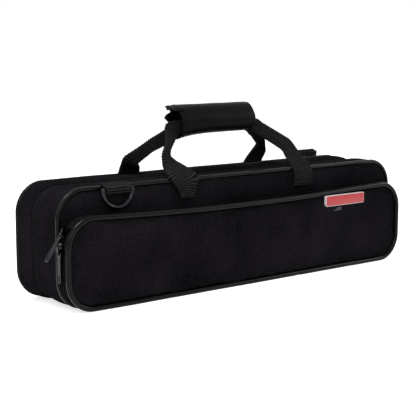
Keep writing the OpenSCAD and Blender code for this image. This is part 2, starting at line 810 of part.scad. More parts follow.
// Pin of the pull, seen from its slider; the lift turns the pull's free end outwards
module at_pin(lift) {
  translate([0, 0, pin_rise]) rotate([-lift, 0, 0]) children();
}

main_corner = case_h - corner_r;
pocket_corner = pocket_h - corner_r;
// Depth at which the pocket's zip runs
pocket_run = main_d + pocket_zip;

module main_slider_high() {
  color("#3a3a40") on_zip(1, main_corner, part_d, slider_step) slider();
}

module main_pull_high() {
  color("#3a3a40") on_zip(1, main_corner, part_d, slider_step) at_pin(pull_lift) pull();
}

module main_slider_low() {
  color("#3a3a40") on_zip(1, main_corner, part_d, 0) rotate([0, 0, 180]) slider();
}

module main_pull_low() {
  color("#3a3a40") on_zip(1, main_corner, part_d, 0) at_pin(0) pull();
}

module pocket_slider_high() {
  color("#3a3a40") on_zip(-1, pocket_corner, pocket_run, slider_step) slider();
}

module pocket_pull_high() {
  color("#3a3a40") on_zip(-1, pocket_corner, pocket_run, slider_step) at_pin(pull_lift) pull();
}

module pocket_slider_low() {
  color("#3a3a40") on_zip(-1, pocket_corner, pocket_run, 0) rotate([0, 0, 180]) slider();
}

module pocket_pull_low() {
  color("#3a3a40") on_zip(-1, pocket_corner, pocket_run, 0) at_pin(0) pull();
}

back_piping();
back_band();
back_panel();
back_foam();
back_zip_tape();
back_coil();
hinge_cloth();
insert();
finger_pull();
front_piping();
front_band();
front_panel();
front_foam();
front_zip_tape();
front_coil();
lid_pad();
lid_cloth();
pocket_fixed_tape();
pocket_hinge_cloth();
front_strap_ends();
back_strap_ends();
pocket_piping();
pocket_band();
pocket_tape();
pocket_panel();
badge();
badge_tab();
front_strap();
back_strap();
grip_pad();
loop_tape();
grip_flap();
hook_tape();
front_tab();
front_ring();
back_tab();
back_ring();
main_slider_high();
main_pull_high();
main_slider_low();
main_pull_low();
pocket_slider_high();
pocket_pull_high();
pocket_slider_low();
pocket_pull_low();
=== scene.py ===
"""Looks of a soft-shell flute case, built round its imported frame.

Everything is in metres. +X runs along the case, -Y is the pocket side and +Z is up.
"""

import json
import logging
import math
from abc import ABC, abstractmethod
from collections.abc import Callable, Sequence
from dataclasses import dataclass
from enum import Enum

import bmesh
import bpy
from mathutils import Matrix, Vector, noise


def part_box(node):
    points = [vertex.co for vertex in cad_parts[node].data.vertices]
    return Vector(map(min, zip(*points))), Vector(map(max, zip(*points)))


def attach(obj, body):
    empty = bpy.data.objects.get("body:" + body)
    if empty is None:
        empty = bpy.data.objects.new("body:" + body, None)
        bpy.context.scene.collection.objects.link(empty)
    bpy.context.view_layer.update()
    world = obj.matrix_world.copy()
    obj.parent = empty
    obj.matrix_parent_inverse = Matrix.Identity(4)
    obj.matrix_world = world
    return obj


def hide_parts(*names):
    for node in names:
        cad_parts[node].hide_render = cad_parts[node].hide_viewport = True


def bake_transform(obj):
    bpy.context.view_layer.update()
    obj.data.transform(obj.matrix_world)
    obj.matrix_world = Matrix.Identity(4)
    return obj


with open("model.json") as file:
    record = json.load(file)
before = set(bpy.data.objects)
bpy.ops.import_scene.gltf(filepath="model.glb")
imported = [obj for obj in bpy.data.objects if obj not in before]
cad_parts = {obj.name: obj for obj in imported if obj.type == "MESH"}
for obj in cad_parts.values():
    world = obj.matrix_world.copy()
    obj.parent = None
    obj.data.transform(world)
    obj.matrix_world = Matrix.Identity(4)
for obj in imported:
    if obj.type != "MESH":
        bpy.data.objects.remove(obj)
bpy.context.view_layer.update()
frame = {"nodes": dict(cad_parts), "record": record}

MM = 0.001
TURN = 2 * math.pi
WELD = 0.002 * MM
WEAVE = "weave"
FINISH = "case_finish"
WHITE = (1, 1, 1, 1)
LOG = logging.getLogger("flute_case")

# The noise by which sewn cloth settles starts from the clock unless it is given a seed.
SEED = 1795542737


# ---------------------------------------------------------------- shader graphs


class Wire:
    """A shader socket that takes part in Python expressions."""

    def __init__(self, graph: "Graph", socket: bpy.types.NodeSocket) -> None:
        """Keeps the graph that the socket belongs to."""
        self.graph = graph
        self.socket = socket

    def _with(self, operation: str, first: "Wire | float", second: "Wire | float") -> "Wire":
        """Adds one Math node and returns its result."""
        return self.graph.math(operation, first, second)

    def __add__(self, other: "Wire | float") -> "Wire":
        """self + other"""
        return self._with("ADD", self, other)

    def __radd__(self, other: float) -> "Wire":
        """other + self"""
        return self._with("ADD", other, self)

    def __sub__(self, other: "Wire | float") -> "Wire":
        """self - other"""
        return self._with("SUBTRACT", self, other)

    def __rsub__(self, other: float) -> "Wire":
        """other - self"""
        return self._with("SUBTRACT", other, self)

    def __mul__(self, other: "Wire | float") -> "Wire":
        """self * other"""
        return self._with("MULTIPLY", self, other)

    def __rmul__(self, other: float) -> "Wire":
        """other * self"""
        return self._with("MULTIPLY", other, self)


Value = Wire | float | tuple


class Graph:
    """A node tree that is written as expressions."""

    def __init__(self, tree: bpy.types.NodeTree) -> None:
        """Starts the tree empty."""
        self.tree = tree
        tree.nodes.clear()

    def node(self, kind: str, settings: dict | None = None, values: dict | None = None) -> bpy.types.Node:
        """Adds a node.

        Args:
            kind: The node's type.
            settings: Its properties.
            values: Numbers or wires for its sockets, by name or index.

        Returns:
            The new node.
        """
        made = self.tree.nodes.new(kind)
        for key, value in (settings or {}).items():
            setattr(made, key, value)
        for key, value in (values or {}).items():
            if isinstance(value, Wire):
                self.tree.links.new(value.socket, made.inputs[key])
            else:
                made.inputs[key].default_value = value
        return made

    def out(self, node: bpy.types.Node, name: str | int = 0) -> Wire:
        """One of a node's results."""
        return Wire(self, node.outputs[name])

    def math(self, operation: str, first: Value, second: Value = 0.0) -> Wire:
        """The result of one Math node."""
        return self.out(self.node("ShaderNodeMath", {"operation": operation}, {0: first, 1: second}))

    def wave(self, along: Wire, pitch: float) -> Wire:
        """A sine between -1 and 1 that repeats every pitch metres."""
        return self.math("SINE", along * (TURN / pitch))

    def clamp(self, value: Wire) -> Wire:
        """The value, kept between 0 and 1."""
        return self.out(self.node("ShaderNodeClamp", None, {"Value": value}))

    def mix(self, factor: Value, dark: tuple, light: tuple) -> Wire:
        """A colour between two."""
        node = self.node("ShaderNodeMix", {"data_type": "RGBA"}, {0: factor, 6: dark, 7: light})
        return self.out(node, 2)

    def cloth_place(self) -> tuple[Wire, Wire, Wire]:
        """The piece's own map in metres: the whole vector, and its run and width."""
        node = self.node("ShaderNodeUVMap", {"uv_map": WEAVE})
        split = self.node("ShaderNodeSeparateXYZ", None, {0: self.out(node)})
        return self.out(node), self.out(split, 0), self.out(split, 1)

    def place(self) -> Wire:
        """Object coordinates."""
        return self.out(self.node("ShaderNodeTexCoord"), "Object")

    def noise(self, place: Wire, size: float, detail: float = 2.0) -> Wire:
        """Noise between 0 and 1 whose lumps are about size metres wide."""
        values = {"Vector": place, "Scale": 1.0 / size, "Detail": detail}
        return self.out(self.node("ShaderNodeTexNoise", None, values), "Fac")

    def bump(self, height: Wire, distance: float, strength: float = 1.0) -> Wire:
        """A normal from a height between 0 and 1."""
        values = {"Height": height, "Distance": distance, "Strength": strength}
        return self.out(self.node("ShaderNodeBump", None, values))

    def seen(self) -> Wire:
        """1 for rays from the camera, through glass and off gloss, and 0 for soft light."""
        path = self.node("ShaderNodeLightPath")
        direct = self.math("MAXIMUM", self.out(path, "Is Camera Ray"), self.out(path, "Is Transmission Ray"))
        return self.math("MAXIMUM", direct, self.out(path, "Is Glossy Ray"))

    @classmethod
    def group(cls, name: str, inputs: Sequence[tuple[str, str]], result: str) -> tuple["Graph", bpy.types.Node]:
        """Starts a node group that makes geometry.

        Args:
            name: The group's name.
            inputs: The name and the kind of each input.
            result: The name of its result.

        Returns:
            The group's graph and the node that holds its inputs.
        """
        tree = bpy.data.node_groups.new(name, "GeometryNodeTree")
        for label, kind in inputs:
            tree.interface.new_socket(label, in_out="INPUT", socket_type=f"NodeSocket{kind}")
        tree.interface.new_socket(result, in_out="OUTPUT", socket_type="NodeSocketGeometry")
        graph = cls(tree)
        return graph, graph.node("NodeGroupInput")

    def finished(self, shape: Wire, finish: Wire) -> bpy.types.NodeTree:
        """Ends a node group: makes the shape real, gives it a finish and returns the group."""
        real = self.node("GeometryNodeRealizeInstances", None, {0: shape})
        dressed = self.node("GeometryNodeSetMaterial", None, {"Geometry": self.out(real), "Material": finish})
        self.node("NodeGroupOutput", None, {0: self.out(dressed)})
        return self.tree


# ---------------------------------------------------------------- finishes


@dataclass(frozen=True)
class Finish:
    """A surface finish.

    Attributes:
        name: The material's name.
        colour: Its main colour, linear.
        rough: Its middle roughness.
        specular: Its specular level.
        sheen: Weight of its sheen.
        metallic: 1 on metal.
        coat: Weight of its clear coat.
    """

    name: str
    colour: tuple[float, float, float]
    rough: float
    specular: float = 0.3
    sheen: float = 0.0
    metallic: float = 0.0
    coat: float = 0.0

    def varied(self, graph: Graph) -> dict[str, Wire]:
        """What changes over the surface, by the shader's socket."""
        grain = graph.noise(graph.place(), 9 * MM)
        return {"Roughness": graph.clamp(self.rough + 0.1 * (grain - 0.5))}

    def tones(self, graph: Graph, factor: Wire, spread: float) -> Wire:
        """The main colour, darkened and lightened by a spread where the factor is 0 and 1."""
        dark = tuple(c * (1 - spread) for c in self.colour) + (1.0,)
        light = tuple(c * (1 + spread) for c in self.colour) + (1.0,)
        return graph.mix(factor, dark, light)

    def material(self) -> bpy.types.Material:
        """The material, made once."""
        known = bpy.data.materials.get(self.name)
        if known and known.get(FINISH):
            return known
        made = bpy.data.materials.new(self.name)
        made[FINISH] = True
        made.use_nodes = True
        graph = Graph(made.node_tree)
        fixed = {
            "Base Color": (*self.colour, 1.0),
            "Roughness": self.rough,
            "Specular IOR Level": self.specular,
            "Sheen Weight": self.sheen,
            "Sheen Roughness": 0.45,
            "Metallic": self.metallic,
            "Coat Weight": self.coat,
            "Coat Roughness": 0.18,
        }
        shader = graph.node("ShaderNodeBsdfPrincipled", None, {**fixed, **self.varied(graph)})
        graph.node("ShaderNodeOutputMaterial", None, {"Surface": graph.out(shader)})
        made.diffuse_color = (*self.colour, 1.0)
        return made


@dataclass(frozen=True)
class Weave(Finish):
    """Plain woven cloth.

    Attributes:
        pitch: Distance between threads.
        relief: Height of the threads.
    """

    pitch: float = 0.5 * MM
    relief: float = 0.05 * MM

    SLUB, PATCH, LINT, LINT_FROM = 3 * MM, 60 * MM, 0.9 * MM, 0.74

    def varied(self, graph: Graph) -> dict[str, Wire]:
        """Threads over and under, with soft large tones and a little lint."""
        place, run, width = graph.cloth_place()
        over = graph.wave(run, self.pitch) * graph.wave(width, self.pitch)
        slub = graph.noise(place, self.SLUB)
        broad = graph.noise(graph.place(), self.PATCH, 3.0)
        lint = graph.math("GREATER_THAN", graph.noise(graph.place(), self.LINT, 4.0), self.LINT_FROM)
        tone = graph.clamp(0.42 + 0.25 * over + 0.8 * (slub - 0.5) + 1.1 * (broad - 0.5) + 0.9 * lint)
        height = 0.5 + 0.35 * over + 0.5 * slub
        return {
            "Base Color": self.tones(graph, tone, 0.75),
            "Roughness": graph.clamp(self.rough + 0.12 * (slub - 0.5)),
            "Normal": graph.bump(height, self.relief),
        }


@dataclass(frozen=True)
class Ribbed(Finish):
    """Webbing or tape with ribs across its run, with painted light on the rib crests and painted shade in the
    grooves.

    Attributes:
        pitch: Distance between ribs.
        yarn: Width of the yarns that make a rib.
        relief: Height of the yarns.
    """

    pitch: float = 2.2 * MM
    yarn: float = 0.6 * MM
    relief: float = 0.08 * MM

    SLANT, WEAR = 0.35, 5 * MM

    def varied(self, graph: Graph) -> dict[str, Wire]:
        """Ribs with painted light on their crests and painted shade in their grooves, with slanted yarns on them.
        """
        place, run, width = graph.cloth_place()
        rib = graph.math("COSINE", run * (TURN / self.pitch))
        yarn = graph.wave(width + self.SLANT * run, self.yarn)
        wear = graph.noise(place, self.WEAR, 3.0)
        # Painted light and shade: the rib term lightens the colour on the crests and darkens it in the grooves;
        # the yarns and the wear are the webbing's own tones.
        tone = graph.clamp(0.5 + 0.4 * rib + 0.12 * yarn + 0.7 * (wear - 0.5))
        return {
            "Base Color": self.tones(graph, tone, 0.95),
            "Roughness": graph.clamp(self.rough + 0.14 * (wear - 0.5) - 0.06 * rib),
            "Normal": graph.bump(0.5 + 0.25 * rib + 0.25 * yarn, self.relief),
        }


@dataclass(frozen=True)
class Pile(Finish):
    """Short plush."""

    TUFT, BRUSHED, DEEP = 0.8 * MM, 24 * MM, 0.35 * MM

    def varied(self, graph: Graph) -> dict[str, Wire]:
        """Fine tufts with brushed patches."""
        place = graph.place()
        tuft = graph.noise(place, self.TUFT, 3.0)
        brushed = graph.noise(place, self.BRUSHED, 3.0)
        return {
            "Base Color": self.tones(graph, graph.clamp(0.6 * tuft + 0.9 * brushed - 0.25), 0.55),
            "Normal": graph.bump(tuft, self.DEEP),
        }


@dataclass(frozen=True)
class Vinyl(Finish):
    """Glossy covered cord, with a fine grain and small creases."""

    GRAIN, CREASE, RUBBED, DEEP = 0.7 * MM, 4.5 * MM, 35 * MM, 0.12 * MM

    def varied(self, graph: Graph) -> dict[str, Wire]:
        """Grain, creases and a few duller rubbed places."""
        place = graph.place()
        grain = graph.noise(place, self.GRAIN, 2.0)
        crease = graph.noise(place, self.CREASE, 4.0)
        rubbed = graph.noise(place, self.RUBBED, 3.0)
        return {
            "Base Color": self.tones(graph, rubbed, 0.3),
            "Roughness": graph.clamp(self.rough + 0.16 * (rubbed - 0.5) + 0.08 * (grain - 0.5)),
            "Normal": graph.bump(0.35 * grain + crease, self.DEEP),
        }


@dataclass(frozen=True)
class Plated(Finish):
    """Dark plated metal, a little uneven and dented."""

    CLOUD, DENT, DEEP = 4 * MM, 1.1 * MM, 0.03 * MM

    def varied(self, graph: Graph) -> dict[str, Wire]:
        """Plating that is a little uneven, with tiny dents."""
        place = graph.place()
        cloud = graph.noise(place, self.CLOUD, 3.0)
        dent = graph.noise(place, self.DENT, 2.0)
        return {
            "Base Color": self.tones(graph, cloud, 0.35),
            "Roughness": graph.clamp(self.rough + 0.22 * (cloud - 0.5)),
            "Normal": graph.bump(dent, self.DEEP),
        }


CLOTH = Weave("padded_nylon", (0.0094, 0.0084, 0.0100), 0.85, 0.0)
GRIP = Weave("grip_nylon", (0.0025, 0.0024, 0.0027), 0.4, 0.04, pitch=0.4 * MM, relief=0.03 * MM)
# TAPE and WEBBING are ribbed finishes whose colour carries painted light on the rib crests and painted shade in
# the grooves.
TAPE = Ribbed("zip_tape", (0.0085, 0.0080, 0.0090), 0.8, 0.0, pitch=0.8 * MM, yarn=0.6 * MM, relief=0.05 * MM)
WEBBING = Ribbed("ribbed_webbing", (0.0115, 0.0112, 0.0120), 0.7, 0.015)
PIPING = Vinyl("glossy_vinyl", (0.0018, 0.0018, 0.0021), 0.24, 0.1)
PLUSH = Pile("brushed_plush", (0.016, 0.015, 0.017), 0.9, 0.1, 0.12)
LINING = Pile("plush_lining", (0.011, 0.011, 0.012), 0.9, 0.1, 0.1)
FOAM = Weave("foam_lining", (0.02, 0.02, 0.022), 0.85, 0.1, 0.04, pitch=0.9 * MM, relief=0.12 * MM)
THREAD = Finish("thread", (0.010, 0.010, 0.0105), 0.5, 0.06)
COIL = Finish("nylon_coil", (0.005, 0.005, 0.006), 0.35, 0.12)
HOOKS = Pile("hook_and_loop", (0.006, 0.006, 0.0066), 0.85, 0.1, 0.03)
METAL = Plated("dark_nickel", (0.022, 0.022, 0.025), 0.2, 0.5, metallic=1.0)
LABEL = Weave("woven_label", (0.06, 0.06, 0.066), 0.8, 0.1, pitch=0.6 * MM)
RED = Finish("red_plate", (0.42, 0.012, 0.016), 0.34, 0.5, coat=0.2)
RIM = Finish("pale_rim", (0.5, 0.47, 0.47), 0.4, 0.5)


# ---------------------------------------------------------------- meshes


def settle(point: Vector, amount: float = 0.32 * MM, reach: float = 48 * MM) -> Vector:
    """Moves a point of the shell as sewn cloth lies, a little unevenly, and never below the ground."""
    moved = point + noise.noise_vector(point / reach) * amount
    moved.z = max(moved.z, 0.0)
    return moved


def running(points: Sequence[Vector]) -> list[float]:
    """The length from the first point to each point."""
    total, found = 0.0, [0.0]
    for before, after in zip(points, points[1:]):
        total += (after - before).length
        found.append(total)
    return found


def solid(name: str, points: Sequence[Vector], faces: Sequence, places: Sequence,
          sharp: float = 35) -> bpy.types.Object:
    """Makes a closed mesh object.

    Args:
        name: The piece's name.
        points: Its corners.
        faces: Their indices, face by face.
        places: A place on the cloth, in metres, for each corner of each face.
        sharp: Angle in degrees past which an edge isn't smoothed.

    Returns:
        The object, with its faces outwards.
    """
    mesh = bpy.data.meshes.new(name)
    mesh.from_pydata([tuple(p) for p in points], [], [tuple(f) for f in faces])
    layer = mesh.uv_layers.new(name=WEAVE)
    for loop, place in zip(layer.data, places):
        loop.uv = place
    work = bmesh.new()
    work.from_mesh(mesh)
    bmesh.ops.remove_doubles(work, verts=work.verts, dist=WELD)
    bmesh.ops.recalc_face_normals(work, faces=work.faces)
    work.to_mesh(mesh)
    work.free()
    mesh.shade_smooth()
    mesh.set_sharp_from_angle(angle=math.radians(sharp))
    made = bpy.data.objects.new(name, mesh)
    bpy.context.collection.objects.link(made)
    return made


def loft(name: str, rows: Sequence[Sequence[Vector]], closed: bool, sharp: float = 35) -> bpy.types.Object:
    """Skins closed profiles that follow each other.

    Args:
        name: The piece's name.
        rows: The profiles, with as many points each.
        closed: True if the last profile joins the first; otherwise both ends are capped.
        sharp: Angle past which an edge isn't smoothed.

    Returns:
        The object.
    """
    count, width = len(rows), len(rows[0])
    run = running([row[0] for row in rows] + [rows[0][0]])
    across = running([*rows[0], rows[0][0]])
    faces, places = [], []
    for i in range(count if closed else count - 1):
        j = (i + 1) % count
        for k in range(width):
            n = (k + 1) % width
            faces.append((i * width + k, j * width + k, j * width + n, i * width + n))
            places += [(run[i], across[k]), (run[i + 1], across[k])]
            places += [(run[i + 1], across[k + 1]), (run[i], across[k + 1])]
    if not closed:
        for start in (0, (count - 1) * width):
            faces.append(tuple(start + k for k in range(width)))
            places += [(across[k], 0.0) for k in range(width)]
    return solid(name, [p for row in rows for p in row], faces, places, sharp)


def slab(name: str, front: Sequence[Sequence[Vector]], back: Callable[[Vector], Vector],
         sharp: float = 35) -> bpy.types.Object:
    """Closes a grid of points into a solid.

    Args:
        name: The piece's name.
        front: Rows of the shown face.
        back: Where the point behind a point lies.
        sharp: Angle past which an edge isn't smoothed.

    Returns:
        The object, whose cloth runs along X and Z.
    """
    rows, cols = len(front), len(front[0])
    points = [p for row in front for p in row]
    points += [back(p) for p in points]
    half = rows * cols
    faces = []
    for i in range(rows - 1):
        for k in range(cols - 1):
            a = i * cols + k
            quad = (a, a + 1, a + cols + 1, a + cols)
            faces += [quad, tuple(half + v for v in reversed(quad))]
    rim = [*range(cols), *(i * cols + cols - 1 for i in range(1, rows))]
    rim += [(rows - 1) * cols + k for k in range(cols - 2, -1, -1)]
    rim += [i * cols for i in range(rows - 2, 0, -1)]
    faces += [(a, b, half + b, half + a) for a, b in zip(rim, [*rim[1:], rim[0]])]
    places = [(points[v].x, points[v].z + points[v].y) for face in faces for v in face]
    return solid(name, points, faces, places, sharp)


@dataclass(frozen=True)
class Station:
    """A place on an outline: its point and the direction outwards, in X and Z."""

    x: float
    z: float
    out_x: float
    out_z: float

    def at(self, inset: float, y: float) -> Vector:
        """The point this far inwards, at this depth."""
        return Vector((self.x - inset * self.out_x, y, self.z - inset * self.out_z))


@dataclass(frozen=True)
class Outline:
    """A long outline with rounded corners, whose top edge may sag.

    Attributes:
        length: Its length over the piping.
        low: Height of its lowest line.
        high: Height of its corners' tops.
        radius: Radius of its corners.
        sag: How far its top edge sags in the middle.
    """

    length: float
    low: float
    high: float
    radius: float
    sag: float = 0.0

    @property
    def run(self) -> float:
        """Half the distance between the centres of two corners."""
        return self.length / 2 - self.radius

    @property
    def lean(self) -> float:
        """Slope at the ends of the sagging edge, in radians."""
        return 2 * math.atan(self.sag / self.run)

    def top(self, x: float, inset: float = 0.0) -> float:
        """Height of the top edge away from the corners."""
        if not self.sag:
            return self.high - inset
        bend = self.run / math.sin(self.lean) - self.radius
        centre = self.high - self.radius + (bend + self.radius) * math.cos(self.lean)
        return centre - math.sqrt((bend + inset) ** 2 - x * x)

    def _corner(self, side: int, high: bool, start: float, end: float, steps: int = 14) -> list[Station]:
        """Stations round one corner, between two angles in radians."""
        cx, cz = side * self.run, (self.high - self.radius if high else self.low + self.radius)
        found = []
        for i in range(steps + 1):
            angle = start + (end - start) * i / steps
            out_x, out_z = math.cos(angle), math.sin(angle)
            found.append(Station(cx + self.radius * out_x, cz + self.radius * out_z, out_x, out_z))
        return found

    def _edge(self, before: Station, after: Station, step: float) -> list[Station]:
        """Stations between two ends of a straight or sagging edge."""
        count = max(2, round(math.hypot(after.x - before.x, after.z - before.z) / step))
        found = []
        for i in range(1, count):
            t = i / count
            x = before.x + (after.x - before.x) * t
            z = before.z + (after.z - before.z) * t
            out_x, out_z = before.out_x, before.out_z
            if self.sag and before.z > self.high / 2 and after.z > self.high / 2:
                z = self.top(x)
                lean = -self.lean * x / self.run
                out_x, out_z = math.sin(lean), math.cos(lean)
            found.append(Station(x, z, out_x, out_z))
        return found

    def stations(self, bottom: bool = True, step: float = 5 * MM) -> list[Station]:
        """Stations anticlockwise from the right end of the bottom edge, with that edge last."""
        quarter, lean = math.pi / 2, self.lean
        corners = [
            self._corner(1, False, -quarter, 0.0),
            self._corner(1, True, 0.0, quarter + lean),
            self._corner(-1, True, quarter - lean, 2 * quarter),
            self._corner(-1, False, 2 * quarter, 3 * quarter),
        ]
        found = []
        for i, corner in enumerate(corners):
            found += corner
            if i < 3 or bottom:
                found += self._edge(corner[-1], corners[(i + 1) % 4][0], step)
        return found

    def span(self, x: float, inset: float) -> tuple[float, float]:
        """Lowest and highest point of the outline at x, this far inwards."""
        radius, past = self.radius - inset, abs(x) - self.run
        if past <= -radius * math.sin(self.lean):
            return self.low + inset, self.top(x, inset)
        rise = math.sqrt(max(radius * radius - past * past, 0.0))
        low = self.low + self.radius - (rise if past > 0 else radius)
        return low, self.high - self.radius + rise

    def depth_inside(self, x: float, z: float, inset: float) -> float:
        """Distance from the outline, moved inwards, to a point inside it."""
        radius = self.radius - inset
        mid, half = (self.low + self.high) / 2, (self.high - self.low) / 2 - self.radius
        qx, qz = abs(x) - self.run, abs(z - mid) - half
        inside = radius - math.hypot(max(qx, 0.0), max(qz, 0.0)) - min(max(qx, qz), 0.0)
        return max(0.0, min(inside, self.span(x, inset)[1] - z))

    def grid(self, inset: float, cols: int, rows: int) -> list[list[tuple[float, float]]]:
        """Places in X and Z that fill the outline, closer together at its ends."""
        reach = self.length / 2 - inset
        columns = [reach * math.sin(math.pi * (k / (cols - 1) - 0.5)) for k in range(cols)]
        spans = [self.span(x, inset) for x in columns]
        ease = [0.5 - 0.5 * math.cos(math.pi * i / (rows - 1)) for i in range(rows)]
        mixed = [0.5 * e + 0.5 * i / (rows - 1) for i, e in enumerate(ease)]
        return [[(x, lo + (hi - lo) * t) for x, (lo, hi) in zip(columns, spans)] for t in mixed]


Profile = Sequence[tuple[float, float]]


def filled(outline: Outline, inset: float, cols: int, rows: int,
           y_of: Callable[[float, float, float], float]) -> list[list[Vector]]:
    """Points that fill an outline.

    Args:
        outline: The outline.
        inset: How far inside it they begin.
        cols: How many there are along X.
        rows: How many there are along Z.
        y_of: Gives their place along Y from x, z and the distance to the rim.

    Returns:
        The points, row by row.
    """
    found = []
    for line in outline.grid(inset, cols, rows):
        found.append([Vector((x, y_of(x, z, outline.depth_inside(x, z, inset)), z)) for x, z in line])
    return found


def ground_strip(name: str, low: Vector, high: Vector, steps: int, across: int, thick: float,
                 z_of: Callable[[float, float], float]) -> bpy.types.Object:
    """A flat strip of cloth along X.

    Args:
        name: The piece's name.
        low: Its lowest corner.
        high: Its highest corner.
        steps: Steps along X.
        across: Steps along Y.
        thick: Its thickness.
        z_of: Gives the height of its lower face from x and the share of its width.

    Returns:
        The strip.
    """
    rows = []
    for i in range(steps + 1):
        x = low.x + (high.x - low.x) * i / steps
        row = []
        for k in range(across + 1):
            t = k / across
            row.append(Vector((x, low.y + (high.y - low.y) * t, z_of(x, t))))
        rows.append(row + [Vector((p.x, p.y, p.z + thick)) for p in reversed(row)])
    return loft(name, rows, False)


def ring(name: str, outline: Outline, profile: Profile, y_of: Callable[[float], float], bottom: bool = True,
         shape: Callable[[Vector, Station], Vector] | None = None, sharp: float = 35) -> bpy.types.Object:
    """Carries a profile round an outline.

    Args:
        name: The piece's name.
        outline: The outline.
        profile: Points of the profile: how far inwards, and at which depth.
        y_of: Turns a depth into a place along Y.
        bottom: False leaves the bottom edge open.
        shape: Moves each point; the usual is to settle it.
        sharp: Angle past which an edge isn't smoothed.

    Returns:
        The object.
    """
    rows = []
    for station in outline.stations(bottom):
        row = [station.at(inset, y_of(depth)) for inset, depth in profile]
        rows.append([shape(p, station) if shape else settle(p) for p in row])
    return loft(name, rows, bottom, sharp)


def round_profile(radius: float, inset: float, depth: float, sides: int = 14) -> list[tuple[float, float]]:
    """A circle as a profile."""
    angles = [TURN * i / sides for i in range(sides)]
    return [(inset + radius * math.cos(a), depth + radius * math.sin(a)) for a in angles]


def cord_shape(centre_inset: float, centre_y: float) -> Callable[[Vector, Station], Vector]:
    """How the covering of a piping cord creases, most in the corners."""

    straight, bent, broad = 0.012, 0.022, 0.015
    fine_size, broad_size = 3.2 * MM, 14 * MM

    def shape(point: Vector, station: Station) -> Vector:
        """Creases one point and lays it on the ground."""
        centre = station.at(centre_inset, centre_y)
        corner = 4 * (station.out_x * station.out_z) ** 2
        amount = straight + bent * corner
        crease = 1 + amount * noise.noise(point / fine_size) + broad * noise.noise(point / broad_size)
        return settle(centre + (point - centre) * crease)

    return shape


def billow(rows: Sequence[Sequence[Vector]], push: Vector, growth: float, cap: float) -> list[list[Vector]]:
    """Simulates a sheet that is sewn down round its rim and filled from behind.

    Args:
        rows: The sheet's points at rest.
        push: Direction in which it swells.
        growth: How much longer the cloth is than its frame.
        cap: The furthest that a point may move.

    Returns:
        The points after the simulation.
    """
    count, width, steps = len(rows), len(rows[0]), 20
    mesh = bpy.data.meshes.new("billow")
    quads = [
        (i * width + k, i * width + k + 1, (i + 1) * width + k + 1, (i + 1) * width + k)
        for i in range(count - 1)
        for k in range(width - 1)
    ]
    mesh.from_pydata([tuple(p) for row in rows for p in row], [], quads)
    if mesh.polygons[0].normal.dot(push) < 0:
        mesh.flip_normals()
    sheet = bpy.data.objects.new("billow", mesh)
    bpy.context.collection.objects.link(sheet)
    rim = sheet.vertex_groups.new(name="rim")
    places = ((i, k) for i in range(count) for k in range(width))
    on_rim = [i * width + k for i, k in places if i in (0, count - 1) or k in (0, width - 1)]
    rim.add(on_rim, 1.0, "REPLACE")
    cloth = sheet.modifiers.new("cloth", "CLOTH")
    settings = cloth.settings
    settings.quality = 8
    settings.mass = 0.3
    settings.tension_stiffness = settings.compression_stiffness = 30
    settings.shear_stiffness = 15
    settings.bending_stiffness = 6
    settings.vertex_group_mass = "rim"
    settings.shrink_min = -growth
    settings.use_pressure = True
    settings.uniform_pressure_force = 1.2
    settings.effector_weights.gravity = 0.0
    cloth.collision_settings.use_collision = False
    scene = bpy.context.scene
    for step in range(1, steps + 1):
        scene.frame_set(step)
    shown = sheet.evaluated_get(bpy.context.evaluated_depsgraph_get()).data
    moved = [v.co.copy() for v in shown.vertices]
    scene.frame_set(1)
    bpy.data.objects.remove(sheet)
    found = []
    for i, row in enumerate(rows):
        kept = []
        for k, point in enumerate(row):
            shift = moved[i * width + k] - point
            kept.append(point + shift * min(1.0, cap / max(shift.length, 1e-9)))
        found.append(kept)
    return found


# ---------------------------------------------------------------- repeated small pieces


